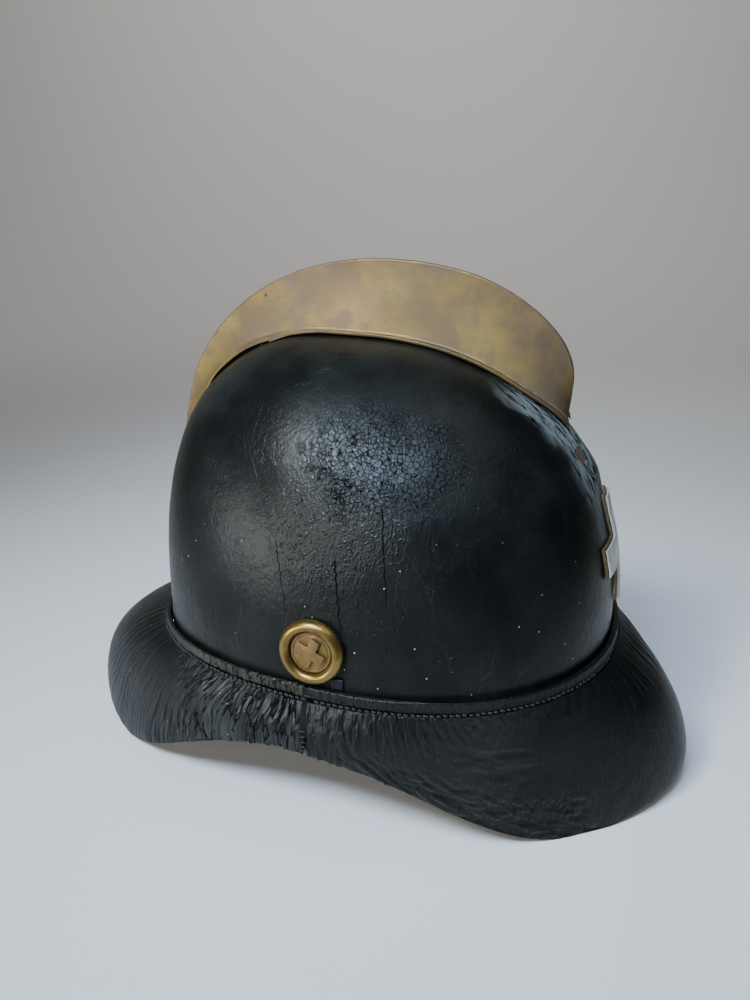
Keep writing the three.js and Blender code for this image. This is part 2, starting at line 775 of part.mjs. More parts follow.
// The angle at which the sweatband's top edge crosses the ray from the liner's middle along out.
function bandAngle(out) {
  const facing = (angle) => {
    const at = wallPoint(angle, -(BAND.inset + BAND.lean + BAND.wall / 2));
    return new THREE.Vector2(at.x, at.y - AHEAD).normalize().dot(out);
  };
  return spread(0, 2 * Math.PI, 720).reduce((a, b) => (facing(b) > facing(a) ? b : a));
}

// Chinstrap: two leather halves that hang from the rosette studs and meet at a wire ring.
function strapHalf(side) {
  const start = new THREE.Vector2(STRAP.x, STRAP.topZ);
  const knuckle = new THREE.Vector2(STRAP.x, STRAP.knuckleZ);
  const reach = RING.halfLength + STRAP.eyelet + STRAP.wall * 0.4;
  const curve = new THREE.CubicBezierCurve(
    knuckle,
    new THREE.Vector2(STRAP.x, STRAP.elbowZ),
    new THREE.Vector2(STRAP.elbowX, RING.z),
    new THREE.Vector2(reach, RING.z),
  );
  const points = [start, ...curve.getPoints(14)];
  const strip = stripWithEyelet(points, STRAP.wall, STRAP.eyelet, STRAP.width);
  const upright = strip.geometry.rotateX(Math.PI / 2).translate(0, rosetteAt.y, 0);
  const hole = rod(STRAP.holeRadius, -6, 6, 14)
    .rotateY(Math.PI / 2)
    .translate(STRAP.x, rosetteAt.y, rosetteAt.z);
  const half = cut(upright, hole);
  return side > 0 ? half : half.rotateZ(Math.PI).translate(0, 2 * rosetteAt.y, 0);
}

function wireRing() {
  const { wire, halfLength, halfWidth: half, z } = RING;
  const bar = (x) => rod(wire, -half, half, 8).rotateX(Math.PI / 2).translate(x, 0, 0);
  const rail = (y) => rod(wire, -halfLength, halfLength, 8).rotateY(Math.PI / 2).translate(0, y, 0);
  const ball = (x, y) => new THREE.SphereGeometry(wire * 1.02, 8, 6).translate(x, y, 0);
  const corners = [[1, 1], [1, -1], [-1, 1], [-1, -1]].map(([a, b]) => ball(a * halfLength, b * half));
  const loop = join(bar(halfLength), bar(-halfLength), rail(half), rail(-half), ...corners);
  return loop.translate(0, rosetteAt.y, z);
}

// The stud's middle where the strap hangs on it.
const rosetteNormal = crownNormal(radians(ROSETTE.angle), ROSETTE.z);
const rosetteFoot = crownPoint(radians(ROSETTE.angle), ROSETTE.z);
const rosetteAt = rosetteFoot
  .clone()
  .addScaledVector(rosetteNormal, -(STRAP.x + rosetteFoot.x) / rosetteNormal.x);

add(helmet, "front_peak", brim(true), BLACK_LEATHER);
add(helmet, "neck_guard", brim(false), BLACK_LEATHER);
add(helmet, "front_peak_lining", brimLining(true), LINING_LEATHER);
add(helmet, "neck_guard_lining", brimLining(false), LINING_LEATHER);
add(helmet, "comb_right_half", combHalf(-1), AGED_BRASS);
add(helmet, "comb_left_half", combHalf(1), AGED_BRASS);
Object.entries(COMB_FIXINGS).forEach(([place, y]) => combFixing(place, y));
badge();
rosette("right", 1);
rosette("left", -1);
add(helmet, "sweatband", sweatband(), TAN_LEATHER);
for (let i = 0; i < TONGUE.count; i++) {
  add(helmet, "liner_tongue_" + (i + 1), linerTongue(i), TAN_LEATHER);
}
add(
  helmet,
  "liner_drawstring",
  new THREE.TorusGeometry(CORD.radius, CORD.thickness, 6, 32).translate(0, AHEAD, CORD.z),
  LINEN,
);
add(helmet, "chinstrap_right", strapHalf(-1), STRAP_LEATHER);
add(helmet, "chinstrap_left", strapHalf(1), STRAP_LEATHER);
add(helmet, "chinstrap_ring", wireRing(), AGED_BRASS);
add(helmet, "crown_shell", cut(crownShell(), ...holes), BLACK_LEATHER);

export default helmet;
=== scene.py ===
"""Looks for a leather fire helmet with a brass comb, rosettes and a cross badge.

Sizes in the first sections are millimetres in the frame of the CAD part: +Z up, the wearer
faces -Y. Meshes are made in millimetres and scaled to metres when they become objects.
"""
import math

import bmesh
import bpy
import numpy as np
from mathutils import Matrix, Vector


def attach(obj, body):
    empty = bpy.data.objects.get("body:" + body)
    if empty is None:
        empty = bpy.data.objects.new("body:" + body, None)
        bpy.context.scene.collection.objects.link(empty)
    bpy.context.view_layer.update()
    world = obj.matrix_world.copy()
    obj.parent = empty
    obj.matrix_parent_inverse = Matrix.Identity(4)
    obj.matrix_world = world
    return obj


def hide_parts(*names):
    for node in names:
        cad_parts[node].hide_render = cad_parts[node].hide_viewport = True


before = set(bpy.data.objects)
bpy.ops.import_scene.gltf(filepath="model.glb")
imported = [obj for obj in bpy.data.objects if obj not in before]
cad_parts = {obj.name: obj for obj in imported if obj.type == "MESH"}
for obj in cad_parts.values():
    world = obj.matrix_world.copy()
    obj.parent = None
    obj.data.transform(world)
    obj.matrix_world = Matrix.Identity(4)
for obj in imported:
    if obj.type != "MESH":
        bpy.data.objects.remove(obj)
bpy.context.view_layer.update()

MM = 0.001
TAU = 2 * math.pi

# ---- sizes of the CAD part, in millimetres ----
CROWN = dict(front=119, rear=115, side=96.6, front_power=2.27, rear_power=2.06,
             peak_y=23, spring_z=69.4, top_z=214.7, wall=4)
FULL = dict(front=(0.8, 0.82), side=(1.0, 0.95), rear=(0.94, 0.55))
KEEL = dict(height=4.5, half=10, low=138.9, full_low=165.9, full_high=183.9, high=197.9)
SEAM = dict(side=80.7, front_rise=5.2, rear_drop=11.8, stitch_drop=6.2, overhang=9)
BRIM = dict(rest=1.6, front=164.6, rear=170.8, side=107, front_taper=0.098, rear_taper=0.042, wall=3.5,
            flange=2.8, slope=0.65, joint=91, gap=0.25)
EDGE_WAVES = (17.2, -1.3, -18.3, 1.2, 15.5, -1.2)
LINING = dict(gap=1.1, wall=1.2, start=0.16, end=0.94)
GAP = 0.3
COMB = dict(sprung=0.9, half=6, sheet=0.9, lip_rise=1.4, clearance=1.2, end=0.012, taper=1.2,
            front_turn=0.79, rear_turn=0.6)
COMB_OUTLINE = (
    ((-85.6, 182.4), (-86.4, 187.9), (-86.4, 193.9), (-86.3, 199.4)),
    ((-86.3, 199.4), (-86.5, 217.4), (-66, 234.4), (-40.6, 243.2)),
    ((-40.6, 243.2), (-15, 250.7), (17, 251), (42.6, 242.9)),
    ((42.6, 242.9), (70, 234.4), (95, 214.4), (105.5, 189.2)),
    ((105.5, 189.2), (110, 177.4), (113, 164.4), (115.2, 151.4)),
)
BADGE = dict(z=124.6, reach=26, half=7.1, tray=(0.4, 1.7), face=(2.0, 2.9), inset=0.8)
ROSETTE = dict(angle=90.7, z=96.9, radius=14.7, bore=2.4, floor=1.1, face=9.2, face_high=2.6,
               square=4.4, cross_high=3.6)
ROSETTE_TURN = dict(right=68, left=-12)
BAND = dict(inset=17, wall=2, height=36, lean=3, lift=1)
HEM = dict(angle=58, low=0.5, high=2.3)
CORD = dict(radius=24, thick=1.2, z=183.9)
TONGUE = dict(count=8, rise=1.4, wall=1.6, base=46, tip=11, eyelet=2.3, bend=0.84, drop=19,
              spread=0.3)
STRAP = dict(wall=2.2, width=16, x=87.6, top=106.9, knuckle=63.9, elbow_z=41.9, elbow_x=58,
             eyelet=1.9, hole=2.9)
RING = dict(wire=1.5, length=7, width=11.5, corner=2.4, z=29.9)

# ---- sizes that only the looks have, in millimetres ----
BRIM_MESH = dict(around=860, outward=72, under=26)
STITCH = dict(first=1.6, step=2.75, seam_drop=3.9)
TAB = dict(angle=86.6, low=0.2, high=5.3, half=2.7, wall=0.8)
AHEAD = (BRIM["front"] - BRIM["rear"]) / 2

# ---- stage and camera, in metres and degrees ----
FLOOR_Z = 0.0014
FLOOR = dict(near=-3.5, flat_to=1.1, half_width=6.0, bend=0.9, tall=3.2)
VIEW = dict(azimuth=-72.69, down=21.43, roll=1.54, at=(-0.34746, -0.10555, 0.27258), focal=0.751)


# ---- small maths ----
def smooth(low, high, value):
    t = np.clip((value - low) / (high - low), 0, 1)
    return t * t * (3 - 2 * t)


def bump_at(value, middle, width):
    return np.exp(-(((value - middle) / width) ** 2))


def signed_power(value, power):
    return np.sign(value) * np.abs(value) ** power


def unit(v):
    return v / np.maximum(np.linalg.norm(v, axis=-1, keepdims=True), 1e-9)


def stack(*parts):
    return np.stack(np.broadcast_arrays(*parts), axis=-1)


def distance_along(path):
    return np.concatenate([[0], np.cumsum(np.linalg.norm(np.diff(path, axis=0), axis=1))])


def bezier(p0, p1, p2, p3, count):
    t = np.linspace(0, 1, count)[:, None]
    p0, p1, p2, p3 = (np.array(p, float) for p in (p0, p1, p2, p3))
    return (1 - t) ** 3 * p0 + 3 * (1 - t) ** 2 * t * p1 + 3 * (1 - t) * t * t * p2 + t ** 3 * p3


def perlin(p, seed):
    """Gradient noise, about -1 to 1, at points p of shape (..., 3)."""
    rng = np.random.default_rng(seed)
    perm = rng.permutation(256)
    perm = np.concatenate([perm, perm])
    grads = unit(rng.normal(size=(256, 3)))
    base = np.floor(p).astype(int)
    f = p - base
    w = f * f * f * (f * (f * 6 - 15) + 10)
    total = 0
    for dx in (0, 1):
        hx = perm[(base[..., 0] + dx) & 255]
        for dy in (0, 1):
            hy = perm[hx + ((base[..., 1] + dy) & 255)]
            for dz in (0, 1):
                g = grads[perm[hy + ((base[..., 2] + dz) & 255)]]
                dot = np.sum(g * (f - np.array((dx, dy, dz))), axis=-1)
                wx = w[..., 0] if dx else 1 - w[..., 0]
                wy = w[..., 1] if dy else 1 - w[..., 1]
                wz = w[..., 2] if dz else 1 - w[..., 2]
                total = total + dot * wx * wy * wz
    return total * 1.6


def ridged(p, seed):
    """Noise with sharp valleys: 0 in the valleys, about 1 on the broad ridges."""
    return np.clip(np.abs(perlin(p, seed)) * 2.2, 0, 1)


# ---- the crown's surface; angle 0 is the front, 90 degrees the wearer's right ----
def crown_plan(a):
    """The crown's outline from above, where it is widest."""
    c = np.cos(a)
    power = np.where(c > 0, 2 / CROWN["front_power"], 2 / CROWN["rear_power"])
    length = np.where(c > 0, CROWN["front"], CROWN["rear"])
    return -CROWN["side"] * signed_power(np.sin(a), power), -length * signed_power(c, power)


def closeness(a, z):
    """The crown's share of its full width: 1 low down, falling to 0 at the top."""
    part = (z - CROWN["spring_z"]) / (CROWN["top_z"] - CROWN["spring_z"])
    c = np.cos(a)
    share = c * c
    end_in = np.where(c > 0, FULL["front"][0], FULL["rear"][0])
    end_up = np.where(c > 0, FULL["front"][1], FULL["rear"][1])
    inward = FULL["side"][0] + (end_in - FULL["side"][0]) * share
    upward = FULL["side"][1] + (end_up - FULL["side"][1]) * share
    rise = np.clip(part, 1e-9, 1) ** (1 / upward)
    return np.where(part <= 0, 1, np.sqrt(np.maximum(0, 1 - rise * rise)) ** inward)


def bare_crown(a, z):
    px, py = crown_plan(a)
    near = closeness(a, z)
    x = px * near
    y = CROWN["peak_y"] + (py - CROWN["peak_y"]) * near
    along = smooth(KEEL["low"], KEEL["full_low"], z) * (1 - smooth(KEEL["full_high"], KEEL["high"], z))
    keel = np.where(np.cos(a) > 0, KEEL["height"] * along * np.exp(-((x / KEEL["half"]) ** 2)), 0)
    return stack(x, y - keel + AHEAD, z)


def crown_normal(a, z):
    around = bare_crown(a + 0.01, z) - bare_crown(a - 0.01, z)
    upward = bare_crown(a, z + 0.2) - bare_crown(a, z - 0.2)
    return unit(np.cross(upward, around))


def crown_point(a, z, lift=0.0):
    return bare_crown(a, z) + crown_normal(a, z) * np.asarray(lift)[..., None]


def away(point, rise):
    """The direction out from the crown's axis at a point, tilted upwards by rise."""
    return unit(np.array([point[0], point[1] - AHEAD, rise]))


def seam_z(a):
    """Height of the seam between the crown and the brims."""
    c = np.cos(a)
    return SEAM["side"] + np.where(c > 0, SEAM["front_rise"], -SEAM["rear_drop"]) * c * c


def wall_point(a, lift):
    """The crown's outline from above, moved outwards by lift."""
    x1, y1 = crown_plan(a + 0.01)
    x0, y0 = crown_plan(a - 0.01)
    along = unit(stack(x1 - x0, y1 - y0))
    x, y = crown_plan(a)
    return stack(x - along[..., 1] * lift, y + along[..., 0] * lift + AHEAD)


def edge_point(a):
    """The brims' outer edge."""
    c = np.cos(a)
    taper = np.where(c > 0, BRIM["front_taper"], BRIM["rear_taper"])
    length = np.where(c > 0, BRIM["front"], BRIM["rear"])
    pull = 1 - taper * np.sin(2 * a) ** 2
    z = sum(w * np.cos(i * a) for i, w in enumerate(EDGE_WAVES))
    return stack(-BRIM["side"] * np.sin(a) * pull, -length * c * pull + AHEAD, np.maximum(0, z))


# ---- meshes ----
def grid_normals(p):
    """Outward or inward unit normals of a grid of points, by central differences."""
    return unit(np.cross(np.gradient(p, axis=0), np.gradient(p, axis=1)))


def grid_faces(rows, cols, wrap_rows=False, wrap_cols=False, start=0):
    i = np.arange(rows if wrap_rows else rows - 1)[:, None]
    j = np.arange(cols if wrap_cols else cols - 1)[None]
    i2, j2 = (i + 1) % rows, (j + 1) % cols
    quads = np.stack(np.broadcast_arrays(i * cols + j, i2 * cols + j, i2 * cols + j2, i * cols + j2), -1)
    return (quads.reshape(-1, 4) + start).tolist()


def capped_faces(rows, cols):
    """Faces of a grid that closes round its columns, with a cap at each end."""
    last = (rows - 1) * cols
    caps = [list(range(cols)), [last + k for k in reversed(range(cols))]]
    return grid_faces(rows, cols, wrap_cols=True) + caps


def grid_uv(us, vs):
    """Corner coordinates of a grid's faces, from coordinates one longer where a side wraps."""
    a, b = us[:-1, :-1], vs[:-1, :-1]
    far, across, beside = (us[1:, :-1], vs[1:, :-1]), (us[1:, 1:], vs[1:, 1:]), (us[:-1, 1:], vs[:-1, 1:])
    corners = [(a, b), far, across, beside]
    return np.stack([np.stack(c, -1) for c in corners], axis=2).reshape(-1, 2)


def make(name, verts, faces, material, body, slot, replaces=(), uv=None, smooth_angle=None,
         second=None):
    """An object in metres from points in millimetres, turned to face outwards."""
    mesh = bpy.data.meshes.new(name)
    mesh.from_pydata((np.asarray(verts, float).reshape(-1, 3) * MM).tolist(), [], faces)
    if uv is not None:
        layer = mesh.uv_layers.new(name="UVMap")
        values = np.zeros((len(mesh.loops), 2), np.float32)
        values[: len(uv)] = uv
        layer.data.foreach_set("uv", values.ravel())
    bm = bmesh.new()
    bm.from_mesh(mesh)
    if bm.calc_volume(signed=True) < 0:
        bmesh.ops.reverse_faces(bm, faces=bm.faces[:])
    bm.to_mesh(mesh)
    bm.free()
    mesh.materials.append(material)
    if second is not None:
        mesh.materials.append(second[0])
        index = np.zeros(len(mesh.polygons), np.int32)
        index[second[1]:] = 1
        mesh.polygons.foreach_set("material_index", index)
    mesh.polygons.foreach_set("use_smooth", [True] * len(mesh.polygons))
    if smooth_angle is not None:
        mesh.set_sharp_from_angle(angle=math.radians(smooth_angle))
    mesh.update()
    obj = bpy.data.objects.new(name, mesh)
    bpy.context.scene.collection.objects.link(obj)
    if replaces:
        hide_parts(*replaces)
    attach(obj, body)
    return obj


def merged(parts):
    """One list of points and faces from several (points, faces) pairs."""
    verts, faces, base = [], [], 0
    for p, f in parts:
        p = np.asarray(p, float).reshape(-1, 3)
        verts.append(p)
        faces += [[i + base for i in face] for face in f]
        base += len(p)
    return np.concatenate(verts), faces


def resample(path, count):
    """The path as evenly spaced points."""
    d = distance_along(path)
    t = np.linspace(0, d[-1], count)
    return np.stack([np.interp(t, d, path[:, k]) for k in range(path.shape[1])], -1)


def soften(values, rounds, axis=0):
    """Repeated 1-2-1 smoothing along one axis, with its ends kept."""
    v = np.moveaxis(np.array(values, float), axis, 0)
    for _ in range(rounds):
        v[1:-1] = (v[:-2] + 2 * v[1:-1] + v[2:]) / 4
    return np.moveaxis(v, 0, axis)


def tube(path, radius, sides=12, closed=False, profile=None):
    """A round tube along a path in space; profile(i, angle) may scale its radius."""
    path = np.asarray(path, float)
    n = len(path)
    if closed:
        tangent = unit(np.roll(path, -1, axis=0) - np.roll(path, 1, axis=0))
    else:
        tangent = unit(np.gradient(path, axis=0))
    up = np.tile([0.0, 0.0, 1.0], (n, 1))
    steep = np.abs(tangent[:, 2]) > 0.95
    up[steep] = [1.0, 0.0, 0.0]
    side = unit(np.cross(up, tangent))
    over = np.cross(tangent, side)
    a = np.linspace(0, TAU, sides, endpoint=False)
    r = np.repeat(np.broadcast_to(np.asarray(radius, float), (n,))[:, None], sides, 1)
    if profile is not None:
        r = r * profile(np.arange(n)[:, None], a[None])
    ring = np.cos(a)[None, :, None] * side[:, None] + np.sin(a)[None, :, None] * over[:, None]
    pts = path[:, None] + r[..., None] * ring
    faces = grid_faces(n, sides, True, True) if closed else capped_faces(n, sides)
    return pts.reshape(-1, 3), faces


def strip(path, across, half, thick, crown=0.0):
    """A flat strap with rounded edges along a path; across is its width direction."""
    path = np.asarray(path, float)
    half = np.broadcast_to(np.asarray(half, float), (len(path),))
    tangent = unit(np.gradient(path, axis=0))
    across = unit(np.broadcast_to(np.asarray(across, float), path.shape))
    normal = unit(np.cross(across, tangent))
    r = thick / 2
    ends = np.linspace(-math.pi / 2, math.pi / 2, 6)
    flat = np.linspace(-1, 1, 9)[1:-1]
    reach = np.maximum(half - r, 0.05)[:, None]
    right = [(reach + r * math.cos(e), r * math.sin(e)) for e in ends]
    top = [(-reach * f, r + crown * (1 - f * f)) for f in flat]
    left = [(-reach - r * math.cos(e), -r * math.sin(e)) for e in ends]
    low = [(reach * f, -r) for f in flat]
    section = right + top + left + low
    pts = np.stack([path + across * u + normal * v for u, v in section], axis=1)
    return pts.reshape(-1, 3), capped_faces(len(path), len(section))


def lathe(profile, segments):
    """A ring solid about +Z from a closed profile of (radius, height)."""
    profile = np.asarray(profile, float)
    a = np.linspace(0, TAU, segments, endpoint=False)
    pts = stack(profile[None, :, 0] * np.cos(a)[:, None], profile[None, :, 0] * np.sin(a)[:, None],
                np.repeat(profile[None, :, 1], segments, 0))
    return pts.reshape(-1, 3), grid_faces(segments, len(profile), True, True)


def moved(parts, matrix):
    pts, faces = parts
    m = np.asarray(matrix, float)
    return np.asarray(pts) @ m[:3, :3].T + m[:3, 3], faces


def stand(angle, z):
    """The frame of a fitting on the crown: +Z along the outward normal."""
    at = crown_point(np.array(angle), np.array(z))
    normal = crown_normal(np.array(angle), np.array(z))
    level = np.array([0.0, 0, 1]) if abs(normal[2]) < 0.9 else np.array([0.0, -1, 0])
    side = unit(np.cross(level, normal))
    m = np.eye(4)
    m[:3, 0], m[:3, 1], m[:3, 2], m[:3, 3] = side, np.cross(normal, side), normal, at
    return m


# ---- material nodes ----
class Mat:
    """A node material with short calls for the nodes that this file uses."""

    def __init__(self, name):
        self.material = bpy.data.materials.new(name)
        self.material.use_nodes = True
        self.tree = self.material.node_tree
        self.tree.nodes.clear()
        out = self.new("OutputMaterial")
        self.surface = self.new("BsdfPrincipled")
        self.tree.links.new(self.surface.outputs[0], out.inputs[0])
        self.coord = self.new("TexCoord")

    def new(self, kind):
        return self.tree.nodes.new("ShaderNode" + kind)

    def put(self, socket, value):
        if isinstance(value, bpy.types.NodeSocket):
            self.tree.links.new(value, socket)
        else:
            socket.default_value = value

    def set(self, **values):
        """Set the surface's inputs; an underscore in a name stands for a space."""
        for name, value in values.items():
            self.put(self.surface.inputs[name.replace("_", " ")], value)

    @property
    def obj(self):
        return self.coord.outputs["Object"]

    @property
    def uv(self):
        return self.coord.outputs["UV"]

    def math(self, op, a, b=0.0):
        n = self.new("Math")
        n.operation = op
        self.put(n.inputs[0], a)
        self.put(n.inputs[1], b)
        return n.outputs[0]

    def vec(self, op, a, b=(0, 0, 0)):
        n = self.new("VectorMath")
        n.operation = op
        self.put(n.inputs[0], a)
        if op == "SCALE":
            self.put(n.inputs["Scale"], b)
        else:
            self.put(n.inputs[1], b)
        return n.outputs["Value"] if op in ("LENGTH", "DISTANCE", "DOT_PRODUCT") else n.outputs[0]

    def stretch(self, vector, scale, turn=(0, 0, 0)):
        n = self.new("Mapping")
        self.put(n.inputs["Vector"], vector)
        n.inputs["Scale"].default_value = scale
        n.inputs["Rotation"].default_value = turn
        return n.outputs[0]

    def noise(self, vector, scale, detail=3.0, rough=0.5, warp=0.0, kind="FBM", colour=False):
        n = self.new("TexNoise")
        n.noise_type = kind
        self.put(n.inputs["Vector"], vector)
        n.inputs["Scale"].default_value = scale
        n.inputs["Detail"].default_value = detail
        n.inputs["Roughness"].default_value = rough
        n.inputs["Distortion"].default_value = warp
        return n.outputs["Color"] if colour else n.outputs[0]

    def cells(self, vector, scale, feature="DISTANCE_TO_EDGE", out=0):
        n = self.new("TexVoronoi")
        n.feature = feature
        self.put(n.inputs["Vector"], vector)
        n.inputs["Scale"].default_value = scale
        return n.outputs[out]

    def span(self, value, low, high, to_low=0.0, to_high=1.0):
        """The value led smoothly from one range to another."""
        n = self.new("MapRange")
        n.interpolation_type = "SMOOTHSTEP"
        self.put(n.inputs["Value"], value)
        n.inputs["From Min"].default_value = low
        n.inputs["From Max"].default_value = high
        n.inputs["To Min"].default_value = to_low
        n.inputs["To Max"].default_value = to_high
        return n.outputs[0]

    def fade(self, value, low, high):
        """1 up to low, falling to 0 at high."""
        return self.span(value, low, high, 1.0, 0.0)

    def mix(self, factor, a, b):
        n = self.new("Mix")
        n.data_type = "RGBA"
        self.put(n.inputs[0], factor)
        for socket, value in ((n.inputs[6], a), (n.inputs[7], b)):
            self.put(socket, value if isinstance(value, bpy.types.NodeSocket) else (*value, 1.0))
        return n.outputs[2]

    def split(self, vector):
        n = self.new("SeparateXYZ")
        self.put(n.inputs[0], vector)
        return n.outputs

    def join(self, x, y, z):
        n = self.new("CombineXYZ")
        for socket, value in zip(n.inputs, (x, y, z)):
            self.put(socket, value)
        return n.outputs[0]

    def chain(self, op, values):
        total = values[0]
        for value in values[1:]:
            total = self.math(op, total, value)
        return total

    def add(self, *values):
        return self.chain("ADD", values)

    def times(self, *values):
        return self.chain("MULTIPLY", values)

    def minus(self, a, b):
        return self.math("SUBTRACT", a, b)

    def absolute(self, value):
        return self.math("ABSOLUTE", value)

    def most(self, a, b):
        return self.math("MAXIMUM", a, b)

    def least(self, a, b):
        return self.math("MINIMUM", a, b)

    def sway(self, vector, scale, detail, amount):
        """Noise about 0, for moving a mask's edge."""
        return self.times(self.minus(self.noise(vector, scale, detail), 0.5), amount)

    def patches(self, scale, detail, low, high):
        """Soft-edged patches spread over the object."""
        return self.span(self.noise(self.obj, scale, detail), low, high)

    def warped(self, vector, scale, amount):
        """The vector moved about by noise, amount in the vector's own unit."""
        moved_by = self.vec("SUBTRACT", self.noise(vector, scale, 2.0, colour=True), (0.5, 0.5, 0.5))
        return self.vec("ADD", vector, self.vec("SCALE", moved_by, amount))

    def near(self, vector, at, inner, outer):
        """1 within inner metres of a place, 0 beyond outer."""
        return self.fade(self.vec("DISTANCE", vector, at), inner, outer)

    def relief(self, height_mm):
        """Bump from heights in millimetres."""
        n = self.new("Bump")
        n.inputs["Strength"].default_value = 1.0
        n.inputs["Distance"].default_value = MM
        self.put(n.inputs["Height"], height_mm)
        return n.outputs[0]


def mirrored_coord(m):
    """Object coordinates with x made positive, so that a mask falls on both sides."""
    x, y, z = m.split(m.obj)
    return m.join(m.absolute(x), y, z)


def crack_line(m, top, bottom, width, wobble):
    """A thin wavering crack on both sides of the crown, from top to bottom, as (y, z) in metres."""
    _, y, z = m.split(m.obj)
    k = (top[0] - bottom[0]) / (top[1] - bottom[1])
    line = m.add(m.times(m.minus(z, bottom[1]), k), bottom[0])
    sway = m.times(m.minus(m.noise(m.join(0.0, 0.0, z), 160, 3.0, 0.6), 0.5), wobble)
    off = m.absolute(m.minus(y, m.add(line, sway)))
    along = m.times(m.span(z, bottom[1], bottom[1] + 0.006), m.fade(z, top[1] - 0.006, top[1]))
    return m.times(m.fade(off, 0.0, width), along)


